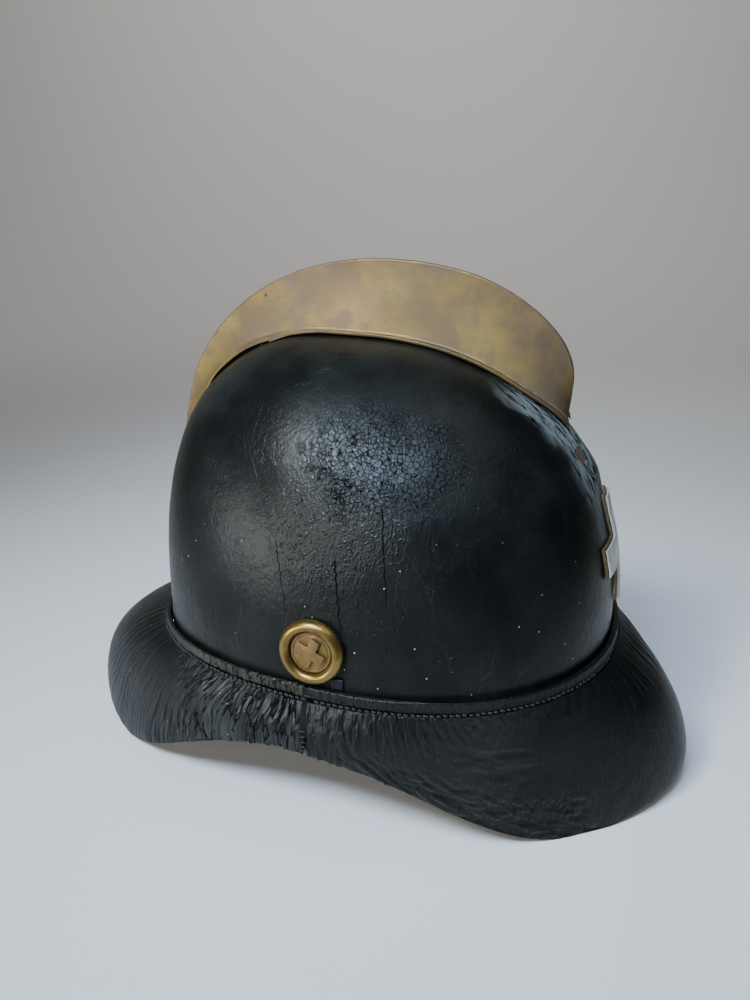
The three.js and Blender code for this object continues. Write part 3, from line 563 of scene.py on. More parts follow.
def crown_leather():
    m = Mat("black_crown_leather")
    p = m.obj
    both = mirrored_coord(m)
    fine = m.noise(p, 900, 3.0, 0.6)
    cloudy = m.noise(p, 22, 4.0, 0.55)
    # Varnish cracked into small plates round the crown's shoulder.
    flat_dome = m.stretch(both, (1, 0.8, 1.15))
    shoulder = m.near(flat_dome, (0.065, -0.016, 0.2019), 0.014, 0.038)
    ragged = m.add(shoulder, m.sway(p, 60, 3.0, 0.9), m.sway(p, 330, 2.0, 0.9))
    crackle_area = m.span(ragged, 0.18, 0.60)
    wide = m.warped(p, 120, 0.0032)
    plates = m.cells(wide, 450)
    hairs = m.cells(m.warped(p, 300, 0.0016), 760)
    hair = m.times(m.span(hairs, 0.0, 0.07, 0.75, 0.0), m.span(ragged, 0.02, 0.30),
                   m.patches(75, 2.0, 0.46, 0.56))
    crackle = m.most(m.times(m.fade(plates, 0.010, 0.062), crackle_area), hair)
    tilt = m.times(m.cells(wide, 450, "F1", out=1), crackle_area)
    # Long curved cracks below the plates, on the side towards the rear.
    x, y, z = m.split(p)
    round_middle = m.vec("DISTANCE", m.warped(both, 90, 0.004), (0.0640, -0.0130, 0.1790))
    ripple = m.math("PINGPONG", m.math("DIVIDE", round_middle, 0.0031), 1.0)
    rings = m.times(m.fade(ripple, 0.02, 0.16), m.span(round_middle, 0.0125, 0.0150),
                    m.fade(round_middle, 0.0225, 0.028), m.fade(z, 0.172, 0.182),
                    m.patches(130, 2.0, 0.38, 0.48), m.span(y, -0.013, 0.0, 0.0, 0.55))
    loose = m.fade(m.cells(m.warped(m.stretch(p, (1, 1, 1.9)), 90, 0.010), 130), 0.0, 0.045)
    loose_middle = m.near(both, (0.072, 0.004, 0.168), 0.012, 0.040)
    loose_area = m.times(loose_middle, m.patches(75, 3.0, 0.50, 0.60))
    arcs = m.most(m.times(loose, loose_area), rings)
    # Pebbled, creased skin lower down.
    pebble_middle = m.near(both, (0.080, -0.004, 0.150), 0.012, 0.044)
    pebble_area = m.span(m.add(pebble_middle, m.sway(p, 70, 3.0, 0.9)), 0.15, 0.75)
    skin = m.stretch(p, (1, 1, 0.7), (0.5, 0, 0))
    pebble = m.times(m.noise(skin, 620, 5.0, 0.65, 0.8, "RIDGED_MULTIFRACTAL"), pebble_area)
    # Single cracks that run down the side.
    lines = m.add(
        crack_line(m, (-0.0072, 0.1394), (-0.0137, 0.1040), 0.00045, 0.006),
        crack_line(m, (-0.0238, 0.1610), (-0.0319, 0.1193), 0.00035, 0.004),
        m.times(crack_line(m, (-0.0285, 0.1560), (-0.0330, 0.1330), 0.0003, 0.005), 0.7),
        m.times(crack_line(m, (0.0205, 0.1420), (0.0110, 0.1080), 0.0003, 0.006), 0.5),
        m.times(crack_line(m, (-0.0400, 0.1250), (-0.0300, 0.0900), 0.0003, 0.010), 0.5),
    )
    # Flaking streaks on the keel at the front.
    front = m.span(y, -0.050, -0.074)
    from_keel = m.add(m.absolute(x), m.sway(p, 55, 3.0, 0.022))
    keel_area = m.times(m.fade(from_keel, 0.014, 0.027), front, m.span(z, 0.122, 0.150))
    streaks = m.noise(m.stretch(m.warped(p, 60, 0.004), (1, 0.22, 0.16)), 520, 4.0, 0.65)
    flake = m.times(m.span(streaks, 0.40, 0.54), keel_area)
    torn = m.near(m.warped(p, 240, 0.008), (-0.0099, -0.0985, 0.1697), 0.0032, 0.0052)
    # Scratches, dust and dull patches.
    scratch_map = m.warped(m.stretch(p, (1, 1, 0.14), (0.35, 0.2, 0)), 30, 0.006)
    scratch = m.times(m.fade(m.cells(scratch_map, 75), 0.0, 0.006), m.patches(34, 2.0, 0.54, 0.64))
    dots = m.cells(p, 210, "F1")
    lucky = m.span(m.cells(p, 210, "F1", out=1), 0.52, 0.53)
    low = m.times(m.fade(z, 0.110, 0.160), m.patches(26, 2.0, 0.38, 0.52))
    dust = m.times(m.fade(dots, 0.050, 0.078), lucky, low)
    black = m.mix(m.span(cloudy, 0.35, 0.7), (0.0022, 0.0026, 0.0026), (0.0045, 0.0055, 0.0053))
    # Painted sheen: higher up the crown the black turns a lighter olive in cloudy patches, where the sheen of
    # the light falls.
    olive_sheen_area = m.times(m.span(cloudy, 0.45, 0.75), m.span(z, 0.13, 0.18))
    olive = m.mix(olive_sheen_area, black, (0.0085, 0.0098, 0.0080))
    # Painted glint: each plate is made lighter and bluer by its tilt value, as if tilted plates caught the
    # light.
    plates_painted_glint = m.mix(m.times(tilt, 0.35), olive, (0.010, 0.0125, 0.0135))
    cracks = m.least(m.add(crackle, arcs, lines), 1.0)
    cracked = m.mix(cracks, plates_painted_glint, (0.0012, 0.0014, 0.0016))
    worn = m.mix(m.times(flake, 0.9), cracked, (0.130, 0.145, 0.142))
    brown = m.mix(torn, worn, (0.060, 0.040, 0.030))
    flecks = m.times(m.span(m.noise(p, 1400, 2.0, 0.7), 0.56, 0.70), m.patches(90, 3.0, 0.40, 0.65))
    flecked = m.mix(m.times(flecks, 0.5), brown, (0.026, 0.028, 0.027))
    scratched = m.mix(m.times(scratch, 0.13), flecked, (0.14, 0.14, 0.13))
    m.set(Base_Color=m.mix(m.times(dust, 0.85), scratched, (0.52, 0.50, 0.45)))
    m.set(Roughness=m.add(m.times(cloudy, 0.18), 0.24, m.times(flake, 0.22), m.times(torn, 0.3),
                          m.times(crackle, 0.2), m.times(dust, 0.3), m.times(m.minus(fine, 0.5), 0.16)))
    m.set(Specular_IOR_Level=m.times(m.minus(1.0, m.times(cracks, 0.9)), 0.18))
    combed = m.noise(m.stretch(p, (1, 1, 0.3)), 800, 3.0, 0.6)
    heights = m.add(
        m.times(fine, 0.075), m.times(combed, 0.13),
        m.times(m.noise(p, 300, 3.0, 0.6), 0.21),
        m.times(crackle, -0.13), m.times(m.minus(tilt, 0.5), 0.07),
        m.times(arcs, -0.16), m.times(pebble, 0.42), m.times(lines, -0.30),
        m.times(flake, 0.10), m.times(torn, -0.35), m.times(scratch, -0.03), m.times(dust, 0.08),
    )
    m.set(Normal=m.relief(heights))
    return m.material


def brim_leather():
    m = Mat("black_brim_leather")
    p, uv = m.obj, m.uv
    _, y, z = m.split(p)
    from_seam = m.split(uv)[1]
    fine = m.noise(p, 850, 3.0, 0.6)
    cloudy = m.noise(p, 26, 4.0, 0.55)
    # Grooves, creases and crumples. In the UV map X runs round the brim and Y outwards, from
    # 0.006 where the flange ends.
    radial = m.noise(m.stretch(m.warped(uv, 50, 0.004), (1, 0.16, 1)), 620, 4.0, 0.6)
    groove_map = m.noise(m.stretch(m.warped(uv, 70, 0.005), (1, 0.17, 1)), 270, 2.5, 0.6)
    grooves = m.fade(m.absolute(m.minus(groove_map, 0.5)), 0.0, 0.040)
    groove = m.fade(m.absolute(m.minus(from_seam, 0.0064)), 0.0005, 0.0013)
    crinkle_map = m.stretch(m.warped(uv, 160, 0.0035), (1, 0.42, 1), (0, 0, -0.25))
    crinkle = m.noise(crinkle_map, 520, 4.0, 0.62, 0.6, "RIDGED_MULTIFRACTAL")
    crumple_map = m.stretch(m.warped(uv, 120, 0.004), (1, 0.34, 1), (0, 0, -0.65))
    crumple = m.noise(crumple_map, 430, 3.0, 0.6)
    # Where they lie: +Y is the rear.
    side_area = m.times(m.span(y, -0.004, 0.004), m.fade(y, 0.060, 0.088))
    low_edge = m.times(m.fade(z, 0.024, 0.040), m.span(y, -0.130, -0.108), m.fade(y, -0.034, -0.018))
    crinkled = m.times(m.span(y, -0.100, -0.080), m.fade(y, -0.006, 0.0))
    lively = m.times(m.span(y, -0.105, -0.060), m.fade(y, 0.055, 0.095))
    # Specks and scratches.
    lucky = m.span(m.cells(p, 200, "F1", out=1), 0.60, 0.61)
    dots = m.times(m.fade(m.cells(p, 200, "F1"), 0.055, 0.080), lucky, m.span(y, 0.02, 0.05))
    scratch_map = m.warped(m.stretch(p, (1, 1, 0.2), (0.3, 0.9, 0)), 30, 0.006)
    scratch = m.times(m.fade(m.cells(scratch_map, 80), 0.0, 0.007), m.patches(30, 2.0, 0.55, 0.66))
    # Colour.
    black = m.mix(m.span(cloudy, 0.35, 0.7), (0.0022, 0.0024, 0.0024), (0.0048, 0.0052, 0.0050))
    grey = m.mix(m.times(side_area, m.span(cloudy, 0.3, 0.7)), black, (0.0130, 0.0145, 0.0145))
    olive_band = m.times(side_area, m.fade(from_seam, 0.004, 0.0055))
    banded = m.mix(m.times(olive_band, 0.7), grey, (0.026, 0.024, 0.016))
    # Painted shade: the grooves, most of all near the joints on the neck guard, and the groove where the
    # flange ends are darkened.
    painted_groove_shade = m.most(groove, m.times(grooves, m.add(m.times(side_area, 0.75), 0.12)))
    dark = m.mix(painted_groove_shade, banded, (0.0012, 0.0012, 0.0014))
    scratched = m.mix(m.times(scratch, 0.25), dark, (0.12, 0.12, 0.11))
    m.set(Base_Color=m.mix(m.times(dots, 0.8), scratched, (0.5, 0.48, 0.43)))
    # Shine and relief.
    m.set(Roughness=m.add(m.times(cloudy, 0.18), 0.26, m.times(grooves, 0.08),
                          m.times(m.minus(fine, 0.5), 0.12)))
    shaded = m.minus(1.0, m.most(groove, m.times(grooves, side_area, 0.9)))
    m.set(Specular_IOR_Level=m.times(shaded, m.add(0.12, m.times(lively, 0.13))))
    m.set(Normal=m.relief(m.add(
        m.times(fine, 0.055), m.times(m.noise(p, 380, 3.0, 0.55), 0.15),
        m.times(radial, m.add(m.times(crinkled, 0.45), 0.16)),
        m.times(grooves, m.add(m.times(side_area, -0.50), -0.05)), m.times(scratch, -0.03),
        m.times(dots, 0.08), m.times(crumple, low_edge, 1.1), m.times(crinkle, crinkled, 0.55),
        m.times(groove, -0.45),
    )))
    return m.material


def comb_brass():
    m = Mat("aged_comb_brass")
    p = m.obj
    cloudy = m.noise(m.warped(p, 14, 0.02), 24, 5.0, 0.62)
    blotch = m.noise(m.warped(p, 40, 0.006), 52, 5.0, 0.65)
    fine = m.noise(p, 700, 3.0, 0.6)
    front = m.span(m.split(p)[1], -0.030, -0.085)
    base = m.mix(m.span(cloudy, 0.38, 0.62), (0.180, 0.123, 0.041), (0.108, 0.073, 0.037))
    pink_patch = m.near(m.warped(p, 40, 0.012), (-0.006, 0.016, 0.228), 0.004, 0.020)
    pink = m.mix(m.times(pink_patch, 0.45), base, (0.21, 0.115, 0.062))
    darker = m.mix(m.times(front, m.span(cloudy, 0.3, 0.6), 0.8), pink, (0.088, 0.062, 0.042))
    stained = m.mix(m.times(m.span(blotch, 0.50, 0.64), 0.65), darker, (0.105, 0.072, 0.052))
    lucky = m.span(m.cells(p, 130, "F1", out=1), 0.90, 0.92)
    spots = m.times(m.fade(m.cells(p, 130, "F1"), 0.08, 0.14), lucky)
    speck = m.mix(m.times(spots, 0.7), stained, (0.055, 0.038, 0.022))
    brushed = m.noise(m.stretch(p, (1, 0.05, 1), (0.25, 0, 0)), 900, 3.0, 0.6)
    m.set(Base_Color=m.mix(m.times(m.span(brushed, 0.50, 0.75), 0.03), speck, (0.42, 0.32, 0.17)))
    m.set(Metallic=0.82)
    m.set(Roughness=m.add(0.44, m.times(blotch, 0.22), m.times(m.minus(fine, 0.5), 0.10),
                          m.times(spots, 0.2)))
    m.set(Normal=m.relief(m.add(m.times(fine, 0.010), m.times(brushed, 0.003),
                                m.times(m.noise(p, 60, 3.0), 0.10), m.times(spots, -0.03))))
    return m.material


def rosette_brass(name, bright, dull, rough, pink=0.0):
    m = Mat(name)
    p = m.obj
    cloudy = m.noise(p, 90, 4.0, 0.6)
    fine = m.noise(p, 1300, 3.0, 0.6)
    spots = m.times(m.fade(m.cells(m.warped(p, 300, 0.001), 330, "F1"), 0.10, 0.20),
                    m.span(m.cells(m.warped(p, 300, 0.001), 330, "F1", out=1), 0.86, 0.9))
    base = m.mix(m.span(cloudy, 0.38, 0.68), bright, dull)
    tinted = m.mix(m.times(m.patches(150, 2.0, 0.45, 0.65), pink), base, (0.24, 0.135, 0.075))
    m.set(Base_Color=m.mix(m.times(spots, 0.8), tinted, (0.05, 0.032, 0.015)))
    m.set(Metallic=0.9)
    m.set(Roughness=m.add(rough, m.times(cloudy, 0.18), m.times(spots, 0.25)))
    m.set(Normal=m.relief(m.add(m.times(fine, 0.012), m.times(m.noise(p, 260, 3.0), 0.035),
                                m.times(spots, -0.05))))
    return m.material


def white_metal():
    m = Mat("badge_white_metal")
    p = m.obj
    cloudy = m.noise(p, 80, 4.0, 0.6)
    brushed = m.noise(m.stretch(p, (1, 1, 0.06)), 1500, 3.0, 0.6)
    base = m.mix(m.span(cloudy, 0.35, 0.7), (0.60, 0.605, 0.59), (0.42, 0.42, 0.40))
    m.set(Base_Color=m.mix(m.times(m.span(brushed, 0.5, 0.75), 0.3), base, (0.7, 0.7, 0.69)))
    m.set(Metallic=0.75)
    m.set(Roughness=m.add(0.36, m.times(cloudy, 0.18)))
    m.set(Normal=m.relief(m.add(m.times(brushed, 0.008), m.times(cloudy, 0.04))))
    return m.material


def plain_metal(name, light, dark, rough):
    m = Mat(name)
    p = m.obj
    cloudy = m.noise(p, 220, 4.0, 0.6)
    pits = m.fade(m.cells(p, 900, "F1"), 0.1, 0.35)
    m.set(Base_Color=m.mix(m.span(cloudy, 0.35, 0.7), light, dark))
    m.set(Metallic=0.9)
    m.set(Roughness=m.add(rough, m.times(cloudy, 0.25)))
    m.set(Normal=m.relief(m.add(m.times(pits, -0.02), m.times(cloudy, 0.03))))
    return m.material


def soft_leather(name, light, dark, rough, grain=650, crease=0.05):
    m = Mat(name)
    p = m.obj
    cloudy = m.noise(p, 40, 5.0, 0.6)
    pores = m.cells(m.warped(p, 500, 0.0006), grain)
    creases = m.noise(m.stretch(p, (1, 1, 0.4)), 140, 4.0, 0.6, 0.4)
    stained = m.mix(m.span(cloudy, 0.35, 0.7), light, dark)
    m.set(Base_Color=m.mix(m.span(pores, 0.0, 0.12, 0.45, 0.0), stained, tuple(c * 0.4 for c in dark)))
    m.set(Roughness=m.add(rough, m.times(cloudy, 0.2)))
    m.set(Specular_IOR_Level=0.35)
    m.set(Normal=m.relief(m.add(m.times(m.span(pores, 0.0, 0.2), 0.05), m.times(creases, crease * 3))))
    return m.material


def thread(name, light, dark):
    m = Mat(name)
    twist = m.noise(m.obj, 1500, 3.0, 0.7)
    m.set(Base_Color=m.mix(m.span(twist, 0.3, 0.7), light, dark))
    m.set(Roughness=m.add(0.7, m.times(twist, 0.2)))
    m.set(Normal=m.relief(m.times(twist, 0.08)))
    return m.material


CROWN_LEATHER = crown_leather()
BRIM_LEATHER = brim_leather()
COMB_BRASS = comb_brass()
RIM_BRASS = rosette_brass("polished_rosette_brass", (0.25, 0.165, 0.045), (0.13, 0.084, 0.026), 0.22)
MEDAL_BRASS = rosette_brass("matte_medallion_brass", (0.190, 0.126, 0.043), (0.130, 0.082, 0.032), 0.36, 0.45)
TRAY_BRASS = rosette_brass("badge_tray_brass", (0.21, 0.160, 0.085), (0.12, 0.088, 0.050), 0.42)
WHITE_METAL = white_metal()
STEEL = plain_metal("dull_steel", (0.30, 0.29, 0.27), (0.14, 0.11, 0.09), 0.38)
STUD_BRASS = plain_metal("stud_brass", (0.34, 0.25, 0.11), (0.20, 0.14, 0.07), 0.35)
TARNISHED_BRASS = plain_metal("tarnished_brass", (0.030, 0.021, 0.011), (0.012, 0.009, 0.006), 0.6)
RAW_LEATHER = soft_leather("raw_inner_leather", (0.085, 0.055, 0.032), (0.045, 0.030, 0.020), 0.62)
LINING_LEATHER = soft_leather("brim_lining_leather", (0.040, 0.036, 0.030), (0.022, 0.019, 0.016), 0.55)
LINER_LEATHER = soft_leather("liner_leather", (0.245, 0.135, 0.068), (0.135, 0.072, 0.038), 0.50, 800)
STRAP_LEATHER = soft_leather("strap_leather", (0.045, 0.028, 0.018), (0.022, 0.014, 0.010), 0.38, 900)
DARK_THREAD = thread("dark_thread", (0.013, 0.0095, 0.0065), (0.003, 0.0025, 0.002))
LINEN_CORD = thread("linen_cord", (0.46, 0.38, 0.26), (0.30, 0.24, 0.16))


# ---- crown ----
def build_crown():
    cols, rows, inner_rows = 440, 176, 60
    a = np.linspace(0, TAU, cols, endpoint=False)[None]
    low = seam_z(a) - SEAM["overhang"]

    def surface(count, lift):
        t = np.linspace(0, math.pi / 2, count + 1)[:-1, None]
        z = low + (CROWN["top_z"] - low) * np.sin(t)
        p = bare_crown(np.broadcast_to(a, z.shape), z)
        wrapped = np.concatenate([p[:, -1:], p, p[:, :1]], axis=1)
        n = grid_normals(wrapped)[:, 1:-1]
        if np.mean(n[2, :, 0] * p[2, :, 0]) < 0:
            n = -n
        return p + n * lift, n

    outer, normal = surface(rows, 0.0)
    x, y, z = outer[..., 0], outer[..., 1], outer[..., 2]
    both = stack(np.abs(x), y, z)
    shape = 0.32 * perlin(outer / 48, 1) + 0.14 * perlin(outer / 17, 2)
    pebble = np.exp(-((np.linalg.norm(both - np.array([82, -6, 148]), axis=-1) / 26) ** 2))
    shape += pebble * (0.10 * perlin(outer * [1, 1, 0.8] / 4.4, 3) + 0.05 * perlin(outer / 2.4, 4))
    keel = bump_at(x, 0, 16) * smooth(-40, -75, y) * smooth(125, 150, z)
    shape += keel * 0.16 * perlin(outer * [1, 0.3, 0.25] / 2.6, 5)
    low_wrinkle = smooth(118, 92, z) * smooth(75, 85, np.abs(x))
    shape += low_wrinkle * 0.10 * perlin(outer * [1, 1, 0.35] / 6, 6)
    fade = smooth(0, 8, z - (low + SEAM["overhang"] - 1)) * 0.8 + 0.2
    outer = outer + normal * (shape * fade)[..., None]
    inner, _ = surface(inner_rows, -CROWN["wall"])
    verts = np.concatenate([outer.reshape(-1, 3), inner.reshape(-1, 3)])
    faces = grid_faces(rows, cols, wrap_cols=True)
    top = (rows - 1) * cols
    faces.append([top + k for k in range(cols)])
    outside = len(faces)
    base = rows * cols
    inner_faces = grid_faces(inner_rows, cols, wrap_cols=True, start=base)
    faces += [f[::-1] for f in inner_faces]
    itop = base + (inner_rows - 1) * cols
    faces.append([itop + k for k in reversed(range(cols))])
    for k in range(cols):
        k2 = (k + 1) % cols
        faces.append([k, k2, base + k2, base + k])
    make("crown_leather", verts, faces, CROWN_LEATHER, "helmet", "black_leather", ["crown_shell"],
         second=(RAW_LEATHER, outside))


# ---- brims ----
def brim_angles(is_front, count):
    joint, gap = math.radians(BRIM["joint"]), math.radians(BRIM["gap"])
    if is_front:
        return np.linspace(-joint + gap, joint - gap, count)
    return np.linspace(joint + gap, TAU - joint - gap, count)


def brim_frame(a):
    """Foot and edge of the brim, the reach between them and its direction."""
    foot = wall_point(a, GAP + BRIM["flange"])
    edge = edge_point(a)
    reach = np.linalg.norm(edge[..., :2] - foot, axis=-1)
    out = (edge[..., :2] - foot) / reach[..., None]
    return foot, edge, reach, out


def brim_line(a, s):
    """The brim's outer line at angles a (A) and shares s (S): x out and z, each (A, S)."""
    _, edge, reach, _ = brim_frame(a)
    start = seam_z(a) - SEAM["stitch_drop"]
    drop = start - edge[..., 2]
    turn = s * math.pi / 2
    fall = (1 - BRIM["slope"]) * (1 - np.cos(turn)) + BRIM["slope"] * s
    return reach[:, None] * np.sin(turn)[None], start[:, None] - drop[:, None] * fall[None]


def inset(x, z, depth):
    """A brim line moved inwards by a depth."""
    dx, dz = np.gradient(x, axis=1), np.gradient(z, axis=1)
    length = np.hypot(dx, dz)
    return x + dz / length * depth, z - dx / length * depth


def on_brim(a, x, z):
    """Points in space from distances out and heights."""
    foot, _, _, out = brim_frame(a)
    return stack(foot[:, None, 0] + out[:, None, 0] * x, foot[:, None, 1] + out[:, None, 1] * x, z)


def brim_relief(angle_deg, arc, dist, s, is_front):
    """Heights in millimetres of the creases worn into the outside of a brim."""
    a = np.abs(angle_deg)[:, None]
    arc = arc[:, None]
    arc, dist, s, a = np.broadcast_arrays(arc, dist, s, a)
    zero = np.zeros_like(arc)

    def waves(u, v, seed):
        return perlin(stack(u, v, zero), seed)

    def creases(u, v, seed):
        """1 in sharp valleys, 0 on the broad ridges between them."""
        return 1 - ridged(stack(u, v, zero), seed)

    sway = 2.6 * waves(arc / 14, dist / 16, 20)
    h = 0.35 * waves(arc / 40, dist / 30, 21) + 0.10 * waves(arc / 9, dist / 9, 22)
    if is_front:
        near_seam = smooth(30, 4, dist) * smooth(8, 40, a)
        h += near_seam * -0.25 * creases((arc + 1.6 * sway) / 4.2, dist / 18, 23)
        h += near_seam * 0.34 * waves((arc + sway) / 1.8, dist / 5, 24)
        skew, run = (arc * 0.62 + dist * 0.78), (dist * 0.62 - arc * 0.78)
        edge_area = smooth(0.60, 0.86, s) * smooth(28, 42, a) * smooth(92, 74, a)
        h += edge_area * -1.1 * creases((skew + sway) / 3.5, run / 13, 25) ** 1.5
        h += edge_area * 0.45 * waves(skew / 1.8, run / 6, 26)
        mid_area = bump_at(a, 57, 7) * bump_at(s, 0.50, 0.14)
        h += mid_area * -1.1 * creases(arc / 24, (dist + 0.30 * arc + sway) / 6, 27)
        side_area = smooth(66, 84, a) * smooth(0.1, 0.3, s)
        h += side_area * -0.6 * creases((arc + sway) / 5.0, dist / 20, 28)
        h -= 0.55 * bump_at(a + 0.25 * sway, 69.2, 0.55) * smooth(0.22, 0.34, s) * smooth(0.86, 0.7, s)
        h -= 0.35 * bump_at(dist, 23 + 0.4 * sway, 1.1) * smooth(47, 52, a) * smooth(69, 62, a)
        brow = smooth(34, 16, a) * smooth(4, 9, dist) * smooth(34, 18, dist)
        h += brow * -0.55 * creases((arc + sway) / 5.0, dist / 60, 29) ** 2
    else:
        back = 180 - a
        from_joint = a - BRIM["joint"]
        side_area = smooth(44, 22, from_joint) * smooth(-1, 5, from_joint)
        h += side_area * -1.25 * creases((arc + 1.3 * sway) / 8.4, dist / 46, 33) ** 2
        h += side_area * -0.75 * creases((arc + sway) / 4.6, dist / 24, 34) ** 2
        fold_area = side_area * smooth(0.45, 0.8, s)
        h += fold_area * -0.7 * creases((arc + sway) / 10, dist / 40, 35)
        ribs = smooth(16, 34, from_joint) * smooth(8, 22, back)
        h += ribs * 0.05 * np.sin((arc + sway) * TAU / 2.7) * smooth(3, 10, dist)
        h += ribs * -0.22 * creases((arc + sway) / 5, dist / 50, 36)
    return h


def seam_lean(a, dist, to_end):
    """How far the leather near the butt seams leans forwards along the brim."""
    share = np.clip(dist / 45, 0, 1)
    lean = 1.7 - 6.2 * share
    return lean * np.exp(-((to_end / 16) ** 2)) * np.sign(np.sin(a))


def brim_section(a, s):
    """A brim's closed section at each angle: x out, z, and the points in its flange band."""
    x, z = brim_line(a, s)
    ux, uz = inset(x, z, BRIM["wall"])
    under = np.linspace(0, len(s) - 1, BRIM_MESH["under"]).astype(int)
    ux, uz = ux[:, under], uz[:, under]
    ux[:, 0], uz[:, 0] = -BRIM["flange"], z[:, 0] - BRIM["wall"]
    uz[:, -1] = z[:, -1]
    back = -BRIM["flange"]
    flange = np.array([(back, -1.2), (back, -0.4), (back + 0.4, 0), (-1.5, 0), (-0.9, 0), (-0.35, -0.15),
                       (-0.05, -0.6), (0, -1.2), (0, -2.0), (0, -2.8), (0, -3.5), (0, -4.2)])
    fx = np.repeat(flange[None, :, 0], len(a), 0)
    fz = seam_z(a)[:, None] + flange[None, :, 1]
    ring_x = np.concatenate([fx, x, ux[:, ::-1]], axis=1)
    ring_z = np.concatenate([fz, z, uz[:, ::-1]], axis=1)
    nf, nl = len(flange), len(s)
    # Round the edge, and the bend from the flange into the brim.
    for part, rounds in ((slice(nf + nl - 9, nf + nl + 5), 14), (slice(nf - 4, nf + 5), 3)):
        ring_x[:, part] = soften(ring_x[:, part], rounds, 1)
        ring_z[:, part] = soften(ring_z[:, part], rounds, 1)
    return ring_x, ring_z, nf


def build_brim(is_front):
    name = "front_peak" if is_front else "neck_guard"
    count, nl = BRIM_MESH["around"], BRIM_MESH["outward"]
    a = brim_angles(is_front, count)
    s = np.linspace(0, 1, nl)
    ring_x, ring_z, nf = brim_section(a, s)
    pts = on_brim(a, ring_x, np.maximum(ring_z, 0.0))
    arc = distance_along(pts[:, nf + nl // 3])
    lengths = np.hypot(np.diff(ring_x, axis=1), np.diff(ring_z, axis=1))
    step = np.concatenate([np.zeros((count, 1)), np.cumsum(lengths, axis=1)], axis=1)
    dist = step - step[:, nf:nf + 1]
    n = grid_normals(pts)
    n = n * np.sign(np.mean(n[:, nf + 30, 2]))
    # The creases fade out at the flange and round the edge, and spare the underside.
    degrees = np.degrees((a + math.pi) % TAU - math.pi)
    share = np.concatenate([np.zeros(nf), s, np.linspace(1, 0, BRIM_MESH["under"])])[None]
    h = brim_relief(degrees, arc, dist, np.repeat(share, count, 0), is_front)
    weight = np.ones(ring_x.shape[1])
    weight[:4] = 0
    weight[4:nf] = 0.35
    weight[nf:nf + 4] = (0.4, 0.55, 0.7, 0.85)
    weight[nf + nl - 3:nf + nl] = (0.8, 0.6, 0.4)
    weight[nf + nl:] = 0
    pts = pts + n * (h * weight[None])[..., None]
    # Upright nicks in the flange band.
    band = np.zeros(ring_x.shape[1])
    band[4:nf] = 1
    zero = np.zeros_like(arc)
    nicks = 0.20 * (1 - ridged(stack(arc / 3.4, zero, zero), 40))
    nicks += 0.10 * perlin(stack(arc / 8, zero, zero), 41)
    pts = pts - n * (nicks[:, None] * band[None])[..., None]
    # The two brims meet in a butt seam whose edges are worn ragged.
    to_end = np.minimum(arc, arc[-1] - arc)
    ragged = 0.45 + 0.6 * perlin(stack(step / 3.1, 0 * step, 0 * step), 42)
    pull = np.clip(ragged, 0.1, 1.6) * np.exp(-to_end[:, None] / 1.2)
    pull = pull * np.sign(arc[-1] / 2 - arc)[:, None] + seam_lean(a[:, None], dist, to_end[:, None])
    pts = pts + unit(np.gradient(pts, axis=0)) * pull[..., None]
    pts[..., 2] -= (pts[..., 2].min() - BRIM["rest"]) * share ** 2
    rows, cols = pts.shape[:2]
    us = np.repeat(arc[:, None], cols + 1, 1) * MM
    vs = np.concatenate([dist + 6, dist[:, -1:] + 8], axis=1) * MM
    make(name + "_leather", pts, capped_faces(rows, cols), BRIM_LEATHER, "helmet", "black_leather", [name],
         uv=grid_uv(us, vs))


def build_lining(is_front):
    name = "front_peak_lining" if is_front else "neck_guard_lining"
    a = brim_angles(is_front, 260)[8:-8]
    s = np.linspace(LINING["start"], LINING["end"], 26)
    x, z = brim_line(a, s)
    upper = inset(x, z, BRIM["wall"] + LINING["gap"])
    lower = inset(x, z, BRIM["wall"] + LINING["gap"] + LINING["wall"])
    ring_x = np.concatenate([upper[0], lower[0][:, ::-1]], axis=1)
    ring_z = np.concatenate([upper[1], lower[1][:, ::-1]], axis=1)
    pts = on_brim(a, ring_x, ring_z)
    pts[:, 26:] += 0.25 * perlin(pts[:, 26:] / 14, 50)[..., None] * [0, 0, 1]
    faces = capped_faces(*pts.shape[:2])
    make(name + "_leather", pts, faces, LINING_LEATHER, "helmet", "lining_leather", [name])


# ---- stitches ----
def stitch(centre, along, outward, length, radius):
    """One bulging, tapered stitch."""
    t = np.linspace(-1, 1, 7)
    sag = (1 - t * t) * 0.22
    path = centre + along * (t * length / 2)[:, None] + outward * sag[:, None]
    taper = radius * np.sqrt(np.clip(1 - (np.abs(t) * 0.96) ** 4, 0.05, 1))
    return tube(path, taper, 7)


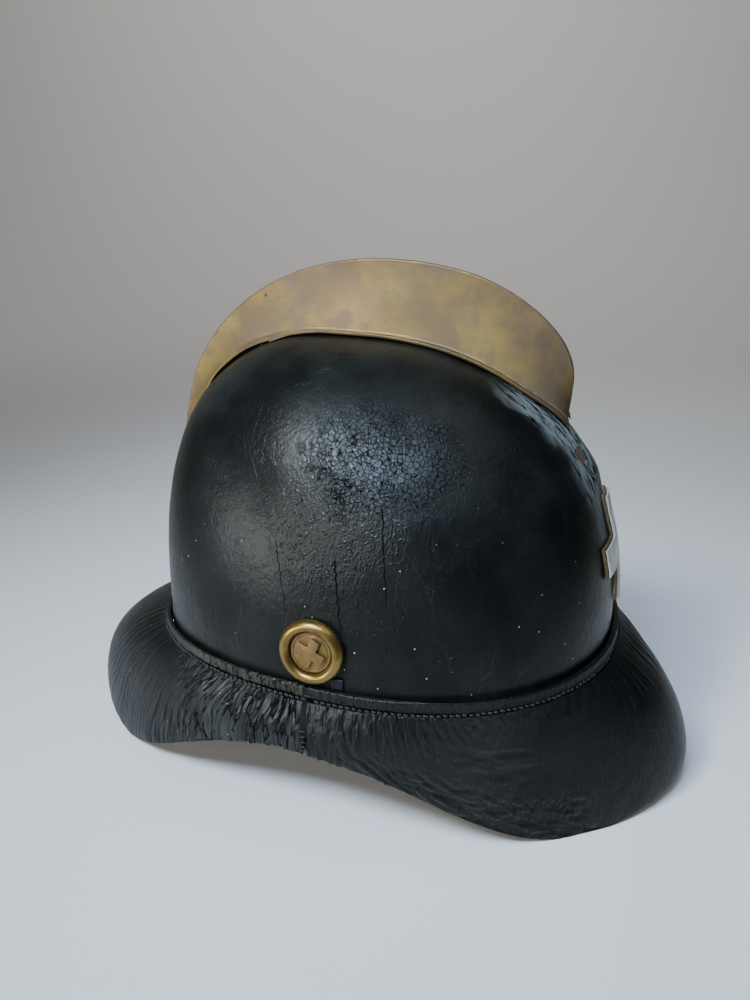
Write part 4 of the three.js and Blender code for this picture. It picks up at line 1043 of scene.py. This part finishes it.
def build_stitches():
    rng = np.random.default_rng(7)
    for is_front, name in ((True, "front_peak_stitches"), (False, "neck_guard_stitches")):
        a = brim_angles(is_front, 4000)
        x, z = brim_line(a, np.array([0.0, 0.02]))
        at = on_brim(a, x[:, :1] + 0.12, z[:, :1] + 0.35)[:, 0]
        arc = distance_along(at)
        parts = []
        place = STITCH["first"]
        while place < arc[-1] - STITCH["first"]:
            i = int(np.searchsorted(arc, place))
            along = unit(at[min(i + 6, len(at) - 1)] - at[max(i - 6, 0)])
            line = unit(along + np.array([0, 0, rng.uniform(0.10, 0.32)]))
            centre = at[i] + rng.normal(0, 0.08, 3)
            length, radius = rng.uniform(1.9, 2.4), rng.uniform(0.50, 0.62)
            parts.append(stitch(centre, line, away(at[i], 30.0), length, radius))
            place += STITCH["step"] + rng.normal(0, 0.10)
        verts, faces = merged(parts)
        make(name, verts, faces, DARK_THREAD, "helmet", "black_leather")
    # Whip stitches across the two butt seams.
    parts = []
    for side in (1, -1):
        joint = side * math.radians(BRIM["joint"])
        for share in (0.58, 0.67, 0.76, 0.84, 0.91):
            a = np.array([joint - 0.022, joint, joint + 0.022])
            x, z = brim_line(a, np.array([share - 0.02, share]))
            p = on_brim(a, x, z)[:, 1]
            outward = away(p[1], 40.0)
            lean = np.array([0, 0, rng.uniform(-1.2, 1.2)])
            drop = math.hypot(x[1, 1], z[1, 1] - seam_z(a[1]) + SEAM["stitch_drop"])
            slip = unit(p[2] - p[0]) * seam_lean(a[1:2], np.array([drop]), np.array([0.0]))[0]
            centre = p[1] + slip + outward * 0.15
            parts.append(stitch(centre, unit(p[2] - p[0] + lean), outward, rng.uniform(2.4, 3.4), 0.30))
        a = np.array([joint - 0.02, joint, joint + 0.02])
        wall = wall_point(a, GAP + BRIM["flange"] + 0.1)
        p = stack(wall[:, 0], wall[:, 1], np.repeat(seam_z(a[1:2]) - STITCH["seam_drop"], 3))
        along = unit(p[2] - p[0] + [0, 0, rng.uniform(-0.8, 0.8)])
        parts.append(stitch(p[1], along, away(p[1], 0.0), 3.4, 0.4))
    verts, faces = merged(parts)
    make("butt_seam_stitches", verts, faces, DARK_THREAD, "helmet", "black_leather")


def build_seam_tabs():
    """A small leather tab on each side covers the place where the two brims meet."""
    for side, name in ((1, "seam_tab_right"), (-1, "seam_tab_left")):
        a = np.full(9, side * math.radians(TAB["angle"]))
        foot = seam_z(a)[0]
        z = np.linspace(foot + TAB["low"], foot + TAB["high"], 9)
        path = crown_point(a, z, GAP + TAB["wall"] / 2)
        across = unit(np.cross(crown_normal(a, z)[4], [0, 0, 1]))
        tab = strip(path, across, TAB["half"], TAB["wall"])
        make(name, *tab, BRIM_LEATHER, "helmet", "black_leather")


# ---- comb ----
def comb_outline(s):
    """The comb's top line at shares s of its length: (y, z)."""
    path = np.concatenate([bezier(*corners, 200) for corners in COMB_OUTLINE])
    path[:, 0] += AHEAD
    d = distance_along(path)
    return np.stack([np.interp(s * d[-1], d, path[:, k]) for k in (0, 1)], -1)


def crown_ridge(s, lift):
    """The crown's middle line under the comb, moved outwards by lift: (y, z)."""
    turn = COMB["front_turn"] + (math.pi - COMB["rear_turn"] - COMB["front_turn"]) * s
    is_front = turn < math.pi / 2
    angle = np.where(is_front, 0.0, math.pi)
    upward = np.where(is_front, FULL["front"][1], FULL["rear"][1])
    z = CROWN["spring_z"] + (CROWN["top_z"] - CROWN["spring_z"]) * np.sin(turn) ** upward
    safe = np.minimum(z, CROWN["top_z"] - 0.35)
    p = crown_point(angle, safe, lift)
    near_top = z > CROWN["top_z"] - 0.35
    y = np.where(near_top, CROWN["peak_y"] + AHEAD, p[:, 1])
    zz = np.where(near_top, CROWN["top_z"] + lift, p[:, 2])
    if near_top.any():
        run = np.where(near_top)[0]
        i0, i1 = max(run[0] - 1, 0), min(run[-1] + 1, len(s) - 1)
        y[run] = np.interp(s[run], [s[i0], s[i1]], [p[i0, 1], p[i1, 1]])
        lowest = CROWN["top_z"] + np.broadcast_to(lift, s.shape)[run] - 0.3
        zz[run] = np.maximum(np.interp(s[run], [s[i0], s[i1]], [p[i0, 2], p[i1, 2]]), lowest)
    return np.stack([y, zz], -1)


def half_width(level):
    """Half the comb's width, from its foot at 0 to its top at 1."""
    return GAP / 2 + COMB["sheet"] + COMB["half"] * (1 - level) ** COMB["taper"]


def build_comb():
    s = np.linspace(COMB["end"], 1 - COMB["end"], 300)
    top = comb_outline(s)
    # The right half has sprung a little off the crown at the rear; the left half is closed.
    sprung = COMB["sprung"] * smooth(0.64, 0.78, s) * smooth(0.985, 0.90, s)
    lip = smooth(0.64, 0.50, s) * smooth(COMB["end"], 0.035, s)
    levels = np.concatenate([np.linspace(1, 0.2, 34), np.linspace(0.18, 0.07, 8)])
    for side, name in ((-1, "comb_right_half"), (1, "comb_left_half")):
        lift = COMB["clearance"] * 0.5 + (sprung if side < 0 else 0 * s)
        foot = soften(crown_ridge(s, lift), 4)
        height = np.linalg.norm(top - foot, axis=1)
        cols_x, cols_v = [], []
        dent = 0.35 * perlin(stack(s * 9, 0 * s, 0 * s + 3.3 * side), 60)
        for v in levels:
            bulge = dent * math.sin(math.pi * v)
            cols_x.append(half_width(v) + np.clip(bulge, -0.3, 0.6) + 0 * s)
            cols_v.append(v + 0 * s)
        wide = half_width(0.05)
        rise = np.minimum(0.5, COMB["lip_rise"] / height)
        for out, up in ((0.0, 1.9), (0.35, 1.6), (0.40, 1.15), (0.75, 1.05), (2.1, 1.0), (2.4, 0.75),
                        (2.4, 0.3), (2.1, 0.0)):
            cols_x.append(wide + out * lip)
            cols_v.append(up * rise)
        cols_x.append(wide - COMB["sheet"] + 0 * s)
        cols_v.append(0 * s)
        for v in np.linspace(0.07, 1, 24):
            cols_x.append(half_width(v) - COMB["sheet"] + 0 * s)
            cols_v.append(v + 0 * s)
        x, v = np.stack(cols_x, 1), np.stack(cols_v, 1)
        at = foot[:, None] + (top - foot)[:, None] * v[..., None]
        pts = stack(side * x, at[..., 0], at[..., 1])
        faces = capped_faces(*pts.shape[:2])
        make(name + "_brass", pts, faces, COMB_BRASS, "helmet", "comb_brass", [name], smooth_angle=40)
    # A run of solder closes the two sheets along the top and down the ends.
    path = comb_outline(np.linspace(COMB["end"] + 0.006, 1 - COMB["end"], 420))
    wobble = 0.08 * perlin(stack(np.linspace(0, 60, 420), np.zeros(420), np.zeros(420)), 61)
    taper = 0.25 + 0.75 * smooth(0, 46, np.arange(420.0))
    bead = tube(stack(np.zeros(420), path[:, 0], path[:, 1]), (1.02 + wobble) * taper, 12)
    make("comb_solder_bead", *bead, COMB_BRASS, "helmet", "comb_brass")


# ---- badge ----
def front_point(x, z, lift):
    """The place on the crown's front at a given X and height."""
    low, high = np.full(x.shape, -1.4), np.full(x.shape, 1.4)
    for _ in range(42):
        middle = (low + high) / 2
        above = bare_crown(middle, z)[..., 0] > x
        low, high = np.where(above, middle, low), np.where(above, high, middle)
    return crown_point((low + high) / 2, z, lift)


def bent_cross(reach, arm, low, high, bevel):
    """A cross-shaped plate bent over the crown's front, with its upper edges rounded."""
    fine = np.array([0, 0.12, 0.3, 0.6, 1.0]) * max(bevel, 0.2)

    def run(a, b, n):
        inner = np.linspace(a + fine[-1], b - fine[-1], n)
        return np.concatenate([a + fine[:-1], inner, b - fine[:-1][::-1]])

    stops = np.concatenate([run(-reach, -arm, 9)[:-1], run(-arm, arm, 11), run(arm, reach, 9)[1:]])
    n = len(stops)
    gx, gy = np.meshgrid(stops, stops, indexing="ij")
    inside_x, inside_y = np.abs(gx) <= arm + 1e-6, np.abs(gy) <= arm + 1e-6
    on = inside_x | inside_y
    dx, dy = reach - np.abs(gx), reach - np.abs(gy)
    ax, ay = arm - np.abs(gx), arm - np.abs(gy)
    d = np.where(inside_x & inside_y, np.maximum(np.hypot(np.maximum(ax, 0), np.maximum(ay, 0)), 0),
                 np.where(inside_x, np.minimum(ax, dy), np.minimum(ay, dx)))
    d = np.clip(d, 0, None)
    t = np.clip(d / bevel, 0, 1)
    lift = high - bevel * 0.8 * (1 - np.sqrt(np.clip(1 - (1 - t) ** 2, 0, 1)))
    upper = front_point(gx, BADGE["z"] + gy, lift)
    lower = front_point(gx, BADGE["z"] + gy, np.full(gx.shape, low))
    verts = np.concatenate([upper.reshape(-1, 3), lower.reshape(-1, 3)])
    base = n * n
    cell = on[:-1, :-1] & on[1:, :-1] & on[:-1, 1:] & on[1:, 1:]
    faces, count = [], {}
    for i, j in zip(*np.nonzero(cell)):
        a, b, c, e = i * n + j, (i + 1) * n + j, (i + 1) * n + j + 1, i * n + j + 1
        faces.append([a, b, c, e])
        faces.append([base + a, base + e, base + c, base + b])
        for p, q in ((a, b), (b, c), (c, e), (e, a)):
            key = (min(p, q), max(p, q))
            count[key] = None if key in count else (p, q)
    for edge in count.values():
        if edge is not None:
            p, q = edge
            faces.append([p, base + p, base + q, q])
    used = sorted({i for f in faces for i in f})
    new = {old: k for k, old in enumerate(used)}
    return verts[used], [[new[i] for i in f] for f in faces]


def build_badge():
    reach, arm = BADGE["reach"], BADGE["half"]
    tray = bent_cross(reach, arm, *BADGE["tray"], 0.35)
    make("badge_tray_brass", *tray, TRAY_BRASS, "helmet", "comb_brass", ["badge_tray"], smooth_angle=50)
    cut = BADGE["inset"]
    face = bent_cross(reach - cut, arm - cut, *BADGE["face"], 0.7)
    make("badge_face_metal", *face, WHITE_METAL, "helmet", "badge_metal", ["badge_face"], smooth_angle=50)


# ---- rosettes ----
def lowest_first(face):
    start = face.index(min(face))
    return face[start:] + face[:start]


def raised_cross(square, low, high, bevel, turn):
    """A bevelled cross of five squares, raised along +Z and turned about it."""
    near, far = square / 2, square * 1.5
    arm = [(-near, -far), (near, -far), (near, -near)]
    quarters = ((1, 0), (0, 1), (-1, 0), (0, -1))
    outline = [(x * c - y * s, x * s + y * c) for c, s in quarters for x, y in arm]
    bm = bmesh.new()
    face = bm.faces.new([bm.verts.new((x, y, low)) for x, y in outline])
    top = bmesh.ops.extrude_face_region(bm, geom=[face])["geom"]
    raised = [v for v in top if isinstance(v, bmesh.types.BMVert)]
    bmesh.ops.translate(bm, verts=raised, vec=(0, 0, high - low))
    edges = [e for e in bm.edges if any(v.co.z > (low + high) / 2 for v in e.verts)]
    bmesh.ops.bevel(bm, geom=edges, offset=bevel, segments=3, profile=0.6, affect="EDGES",
                    clamp_overlap=True)
    bmesh.ops.rotate(bm, verts=bm.verts[:], cent=(0, 0, 0), matrix=Matrix.Rotation(turn, 3, "Z"))
    bm.verts.index_update()
    verts = np.array([v.co[:] for v in bm.verts])
    # The bevel lists its faces in another order each run, so they are put in a fixed one.
    faces = sorted(lowest_first([v.index for v in f.verts]) for f in bm.faces)
    bm.free()
    return verts, faces


def build_rosette(place, side):
    frame_at = stand(side * math.radians(ROSETTE["angle"]), ROSETTE["z"])
    body = "rosette_" + place
    r, seat = ROSETTE["radius"], ROSETTE["face"] + GAP
    bore, floor = ROSETTE["bore"], ROSETTE["floor"]
    profile = np.concatenate([
        [(bore, GAP), (r - 3, GAP)],
        bezier((r - 0.8, GAP), (r + 0.1, 0.8), (r + 0.2, 2.4), (r - 0.9, 3.8), 14),
        bezier((r - 0.9, 3.8), (r - 2, 5.3), (seat + 1.2, 5.2), (seat + 0.4, 3.9), 16)[1:],
        [(seat + 0.12, 3.4), (seat + 0.05, 2.9), (seat, 2.2), (seat, floor), (bore, floor)],
    ])
    cup = moved(lathe(profile, 120), frame_at)
    make(body + "_rim", *cup, RIM_BRASS, body, "rosette_brass", [body + "_cup"], smooth_angle=50)
    f, low, high = ROSETTE["face"], floor + GAP, ROSETTE["face_high"]
    disc = lathe([(0.02, low), (f - 0.1, low), (f, low + 0.2), (f, high - 0.25), (f - 0.25, high),
                  (f - 1.0, high), (f - 1.2, high - 0.22), (f - 1.5, high - 0.22), (f - 1.7, high),
                  (4.0, high + 0.08), (0.02, high + 0.1)], 96)
    # The raised cross has a smaller one on it.
    turn = math.radians(ROSETTE_TURN[place])
    cross = raised_cross(ROSETTE["square"], high - 0.3, ROSETTE["cross_high"] + 0.7, 0.30, turn)
    upper = raised_cross(ROSETTE["square"] * 0.62, high, ROSETTE["cross_high"] + 0.85, 0.20, turn)
    medal = moved(merged([disc, cross, upper]), frame_at)
    make(body + "_medal", *medal, MEDAL_BRASS, body, "rosette_brass", [body + "_medallion"],
         smooth_angle=45)


# ---- inside ----
def band_top(a):
    return seam_z(a) - SEAM["overhang"] + BAND["lift"] + BAND["height"]


def ring_mesh(a, section, wrap):
    """A band round the crown: section gives (inset, z) pairs, each (A,)."""
    cols = []
    for depth, z in section:
        depth = np.broadcast_to(depth, a.shape)
        wall = np.stack([wall_point(a[i:i + 1], -depth[i])[0] for i in range(len(a))])
        cols.append(stack(wall[:, 0], wall[:, 1], z))
    pts = np.stack(cols, axis=1)
    rows, n = pts.shape[:2]
    return pts, grid_faces(rows, n, True, True) if wrap else capped_faces(rows, n)


def build_sweatband():
    a = np.linspace(0, TAU, 360, endpoint=False)
    low, high = band_top(a) - BAND["height"], band_top(a)
    wave = 0.35 * np.sin(a * 26) + 0.25 * np.sin(a * 11 + 1)
    rise = np.linspace(0, 1, 16)
    outside = [(BAND["inset"] + BAND["lean"] * k + wave * math.sin(math.pi * k) * 0.6, low + (high - low) * k)
               for k in rise]
    inside = [(depth + BAND["wall"], z) for depth, z in reversed(outside)]
    upper_edge = [(BAND["inset"] + BAND["lean"] + 1.0, high + 0.35)]
    lower_edge = [(BAND["inset"] + 1.0, low - 0.35)]
    section = outside + upper_edge + inside + lower_edge
    pts, faces = ring_mesh(a, section, True)
    make("sweatband_leather", pts, faces, LINER_LEATHER, "helmet", "liner_leather", ["sweatband"])
    hems = []
    for middle in (0, math.pi):
        b = np.linspace(middle - math.radians(HEM["angle"]), middle + math.radians(HEM["angle"]), 120)
        base = band_top(b) - BAND["height"]
        hem_low, hem_high = base + HEM["low"], base + HEM["high"]
        near, far = CROWN["wall"] + 2 * GAP, BAND["inset"] - 0.2
        hem = [(near, hem_low), (near, hem_high), (near + 5, hem_high + 0.25), (far, hem_high),
               (far, hem_low), (near + 5, hem_low - 0.2)]
        p, f = ring_mesh(b, hem, False)
        hems.append((p.reshape(-1, 3), f))
    verts, faces = merged(hems)
    make("sweatband_hem", verts, faces, LINER_LEATHER, "helmet", "liner_leather")
    # Stitches round the sweatband's lower edge.
    b = np.linspace(0, TAU, 150, endpoint=False)
    wall = wall_point(b, -(BAND["inset"] + BAND["wall"] + 0.25))
    zs = band_top(b) - BAND["height"] + 3.0
    parts = []
    for i in range(len(b)):
        j = (i + 1) % len(b)
        p, q = np.array([*wall[i], zs[i]]), np.array([*wall[j], zs[j]])
        parts.append(stitch(p, unit(q - p), -away(p, 0.0), 2.4, 0.35))
    verts, faces = merged(parts)
    make("sweatband_stitches", verts, faces, LINEN_CORD, "helmet", "linen")


def looped_path(path, centre, radius, sweep):
    """The path in a plane, led tangentially round a centre and back: points (N, 2)."""
    end = path[-1]
    d = unit(centre - end)
    p = np.array([-d[1], d[0]])
    phi = np.linspace(0, math.radians(sweep), 26)[:, None]
    loop = centre + radius * (p * np.cos(phi) + d * np.sin(phi))
    keep = path[np.linalg.norm(path - centre, axis=1) > radius * 2.0]
    whole = resample(np.concatenate([keep, loop]), 90)
    whole[:70] = soften(whole[:70], 5)
    return whole


def build_tongues():
    wall = TONGUE["wall"]
    grid = np.linspace(0, TAU, 721)
    ring = wall_point(grid, -(BAND["inset"] + BAND["lean"] + BAND["wall"] / 2)) - [0, AHEAD]
    for number in range(TONGUE["count"]):
        angle = math.radians(22.5 + 45 * number)
        out = np.array([-math.sin(angle), -math.cos(angle)])
        foot = grid[np.argmax(unit(ring) @ out)]
        reach = np.linalg.norm(ring[np.argmax(unit(ring) @ out)])
        nearby = np.linspace(foot - TONGUE["spread"], foot + TONGUE["spread"], 7)
        low = float(np.max(band_top(nearby))) + TONGUE["rise"]
        tip = CORD["radius"] + TONGUE["eyelet"] + wall * 0.4
        p0, p2 = np.array([reach, low]), np.array([tip, CORD["z"]])
        p1 = np.array([reach * TONGUE["bend"], CORD["z"] - TONGUE["drop"]])
        t = np.linspace(0, 1, 60)[:, None]
        path = (1 - t) ** 2 * p0 + 2 * (1 - t) * t * p1 + t * t * p2
        plane = looped_path(path, np.array([CORD["radius"], CORD["z"]]), TONGUE["eyelet"] + wall / 2, 300)
        radial = plane[:, 0]
        widths = [TONGUE["tip"] / 2 - 1, TONGUE["tip"] / 2, TONGUE["base"] / 2]
        half = np.interp(radial, [0, CORD["radius"] + 8, reach + 4], widths)
        half = half * (1 - 0.03 * np.sin(np.linspace(0, 30, len(half))))
        space = stack(out[0] * plane[:, 0], out[1] * plane[:, 0] + AHEAD, plane[:, 1])
        across = np.array([-out[1], out[0], 0.0])
        name = "liner_tongue_%d" % (number + 1)
        tongue = strip(space, across, half, wall, 0.25)
        make(name + "_leather", *tongue, LINER_LEATHER, "helmet", "liner_leather", [name])


def build_drawstring():
    count, turns = 720, 33
    a = np.linspace(0, TAU, count, endpoint=False)
    x, y = CORD["radius"] * np.cos(a), CORD["radius"] * np.sin(a) + AHEAD
    path = stack(x, y, np.full(count, float(CORD["z"])))

    def strands(i, phi):
        return 0.86 + 0.14 * np.abs(np.cos(1.5 * phi + i * TAU * turns / count))

    cord = tube(path, CORD["thick"], 18, True, strands)
    make("liner_drawstring_cord", *cord, LINEN_CORD, "helmet", "linen", ["liner_drawstring"])


def build_chinstrap():
    frame_at = stand(math.radians(ROSETTE["angle"]), ROSETTE["z"])
    foot, normal = frame_at[:3, 3], frame_at[:3, 2]
    at = foot + normal * (-(STRAP["x"] + foot[0]) / normal[0])
    y, stud_z = at[1], at[2]
    reach = RING["length"] + STRAP["eyelet"] + STRAP["wall"] * 0.4
    curve = bezier((STRAP["x"], STRAP["knuckle"]), (STRAP["x"], STRAP["elbow_z"]),
                   (STRAP["elbow_x"], RING["z"]), (reach, RING["z"]), 70)
    straight = np.stack([np.full(30, STRAP["x"]), np.linspace(STRAP["top"], STRAP["knuckle"] + 1, 30)], -1)
    path = np.concatenate([straight, curve])
    ring_at = np.array([float(RING["length"]), RING["z"]])
    plane = looped_path(path, ring_at, STRAP["eyelet"] + STRAP["wall"] / 2, 290)

    def on_stud(points, side):
        """Points of a lathe turned so that its axis lies along X, at the stud."""
        return points[:, ::-1] + [side * STRAP["x"], y, stud_z]

    for side, name in ((-1, "chinstrap_right"), (1, "chinstrap_left")):
        down = distance_along(plane)
        half = STRAP["width"] / 2 * np.sqrt(np.clip(1 - np.clip((7 - down) / 8, 0, 1) ** 2, 0.02, 1))
        space = stack(side * plane[:, 0], np.full(len(plane), y), plane[:, 1])
        leather = strip(space, (0, 1, 0), half, STRAP["wall"])
        strap = make(name + "_leather", *leather, STRAP_LEATHER, "chinstrap", "strap_leather", [name])
        hole_pts, hole_faces = lathe([(0.01, -6), (STRAP["hole"], -6), (STRAP["hole"], 6), (0.01, 6)], 32)
        cutter_mesh = bpy.data.meshes.new("hole")
        cutter_mesh.from_pydata((on_stud(hole_pts, side) * MM).tolist(), [], hole_faces)
        cutter = bpy.data.objects.new("hole", cutter_mesh)
        bpy.context.scene.collection.objects.link(cutter)
        cut = strap.modifiers.new("hole", "BOOLEAN")
        cut.object, cut.operation, cut.solver = cutter, "DIFFERENCE", "EXACT"
        bpy.context.view_layer.update()
        done = bpy.data.meshes.new_from_object(strap.evaluated_get(bpy.context.evaluated_depsgraph_get()))
        strap.modifiers.clear()
        strap.data = done
        bpy.data.objects.remove(cutter)
        # A pressed brass eyelet lines the hole.
        pts, faces = lathe([(2.45, -1.5), (4.2, -1.5), (4.4, -1.25), (4.2, -1.12), (3.0, -1.12),
                            (2.86, -0.9), (2.86, 0.9), (3.0, 1.12), (4.2, 1.12), (4.4, 1.25),
                            (4.2, 1.5), (2.45, 1.5), (2.4, 1.3), (2.4, -1.3)], 36)
        make(name + "_eyelet", on_stud(pts, side), faces, STUD_BRASS, "chinstrap", "comb_brass")
        # Edge stitches down both sides.
        parts = []
        for edge in (-1, 1):
            for k in range(10, 62, 2):
                p = space[k] + [0, edge * (half[k] - 1.7), 0]
                tangent = unit(space[k + 1] - space[k - 1])
                outward = unit(np.cross(tangent, [0, 1, 0])) * -side
                for face in (1, -1):
                    centre = p + outward * face * (STRAP["wall"] / 2 + 0.02)
                    parts.append(stitch(centre, tangent, outward * face, 2.0, 0.26))
        verts, faces = merged(parts)
        make(name + "_stitches", verts, faces, LINEN_CORD, "chinstrap", "linen")
    corner = RING["corner"]
    cx, cy = RING["length"] - corner, RING["width"] - corner
    path = []
    for quarter, (sx, sy) in enumerate(((1, 1), (-1, 1), (-1, -1), (1, -1))):
        for k in np.linspace(0, 90, 9):
            t = math.radians(90 * quarter + k)
            path.append((sx * cx + corner * math.cos(t), sy * cy + corner * math.sin(t) + y, RING["z"]))
    wire = tube(resample(np.array(path + path[:1]), 121)[:-1], RING["wire"], 16, True)
    make("chinstrap_ring_wire", *wire, STUD_BRASS, "chinstrap", "comb_brass", ["chinstrap_ring"])


def finish_cad_nodes():
    """Fittings whose CAD shape is right keep it, with a better material."""
    for name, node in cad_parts.items():
        material = None
        if name.startswith("comb_bracket"):
            material = TARNISHED_BRASS
        elif name.startswith("badge_stud") or name.endswith("_stud"):
            material = STUD_BRASS
        elif name.startswith(("comb_screw", "comb_washer", "comb_nut", "badge_nut")):
            material = STEEL
        elif name.endswith(("_washer", "_nut")):
            material = STEEL
        if material is None:
            continue
        if not node.data.materials:
            node.data.materials.append(material)
        for slot in node.material_slots:
            slot.material = material


# ---- stage, light and camera ----
def plain(name, colour, rough):
    m = Mat(name)
    grain = m.noise(m.obj, 3.0, 3.0, 0.5)
    m.set(Base_Color=m.mix(m.times(grain, 0.12), colour, tuple(c * 0.9 for c in colour)))
    m.set(Roughness=rough)
    return m.material


def build_stage():
    """A floor that bends up into a wall behind; the rounded brim edges touch down on it."""
    depth, width, bend = FLOOR["flat_to"], FLOOR["half_width"], FLOOR["bend"]
    profile = [(FLOOR["near"], 0.0)] + [(x, 0.0) for x in np.linspace(FLOOR["near"] + 0.5, depth, 12)]
    for t in np.linspace(0.1, math.pi / 2, 14):
        profile.append((depth + bend * math.sin(t), bend * (1 - math.cos(t))))
    profile.append((depth + bend, FLOOR["tall"]))
    view = math.radians(VIEW["azimuth"])
    ahead = np.array([-math.sin(view), math.cos(view), 0])
    side = np.array([math.cos(view), math.sin(view), 0])
    pts = [ahead * d + side * w + [0, 0, z + FLOOR_Z] for d, z in profile for w in (-width, width)]
    mesh = bpy.data.meshes.new("studio_floor")
    mesh.from_pydata(np.array(pts).tolist(), [], grid_faces(len(profile), 2))
    mesh.polygons.foreach_set("use_smooth", [True] * len(mesh.polygons))
    mesh.materials.append(plain("pale_floor", (0.62, 0.61, 0.60), 0.8))
    floor = bpy.data.objects.new("studio_floor", mesh)
    bpy.context.scene.collection.objects.link(floor)


def area_light(name, at, target, size, power, colour, spread=180):
    data = bpy.data.lights.new(name, "AREA")
    data.shape = "RECTANGLE"
    data.size, data.size_y = size
    data.energy = power
    data.color = colour
    data.spread = math.radians(spread)
    lamp = bpy.data.objects.new(name, data)
    lamp.location = at
    lamp.rotation_euler = (Vector(target) - Vector(at)).to_track_quat("-Z", "Y").to_euler()
    bpy.context.scene.collection.objects.link(lamp)


def build_camera():
    az, down, roll = (math.radians(VIEW[k]) for k in ("azimuth", "down", "roll"))
    look = Vector((-math.sin(az) * math.cos(down), math.cos(az) * math.cos(down), -math.sin(down)))
    right = look.cross(Vector((0, 0, 1))).normalized()
    up = right.cross(look)
    side = right * math.cos(roll) + up * math.sin(roll)
    top = -right * math.sin(roll) + up * math.cos(roll)
    data = bpy.data.cameras.new("camera")
    data.sensor_fit = "VERTICAL"
    data.sensor_height = 36.0
    data.lens = 36.0 * VIEW["focal"]
    data.clip_start = 0.01
    camera = bpy.data.objects.new("camera", data)
    rotation = Matrix((side, top, -look)).transposed().to_4x4()
    camera.matrix_world = Matrix.Translation(VIEW["at"]) @ rotation
    bpy.context.scene.collection.objects.link(camera)
    bpy.context.scene.camera = camera


def build_light():
    world = bpy.data.worlds.new("studio")
    bpy.context.scene.world = world
    world.use_nodes = True
    background = world.node_tree.nodes["Background"]
    background.inputs[0].default_value = (0.95, 0.97, 1.0, 1)
    background.inputs[1].default_value = 0.06
    window, warm, cool = (0.46, 0.68, 1.0), (1.0, 0.97, 0.88), (0.97, 0.99, 1.0)
    area_light("window", (-0.80, 0.135, 1.11), (-0.067, -0.018, 0.175), (0.34, 0.28), 2.3, window, 50)
    area_light("window_edge", (-0.77, 0.44, 1.03), (-0.067, -0.010, 0.170), (0.22, 0.26), 1.35,
               (0.92, 1.0, 0.94), 50)
    area_light("left", (-1.22, 0.45, 0.58), (-0.08, 0, 0.15), (0.40, 0.32), 0.65, warm, 60)
    area_light("rear_left", (-1.08, 1.00, 0.22), (-0.10, 0.01, 0.06), (1.10, 0.36), 2.7, cool, 70)
    area_light("overhead", (-0.35, -0.65, 2.0), (-0.03, 0, 0.13), (1.6, 1.6), 10.0, (1.0, 0.98, 0.95))
    area_light("backdrop", (0.85, 0.25, 1.9), (3.2, 1.0, 1.2), (1.4, 1.0), 26.0, (1.0, 0.99, 0.97))


build_camera()
build_light()
build_stage()
build_crown()
for front in (True, False):
    build_brim(front)
    build_lining(front)
build_stitches()
build_seam_tabs()
build_comb()
build_badge()
build_rosette("right", 1)
build_rosette("left", -1)
build_sweatband()
build_tongues()
build_drawstring()
build_chinstrap()
finish_cad_nodes()
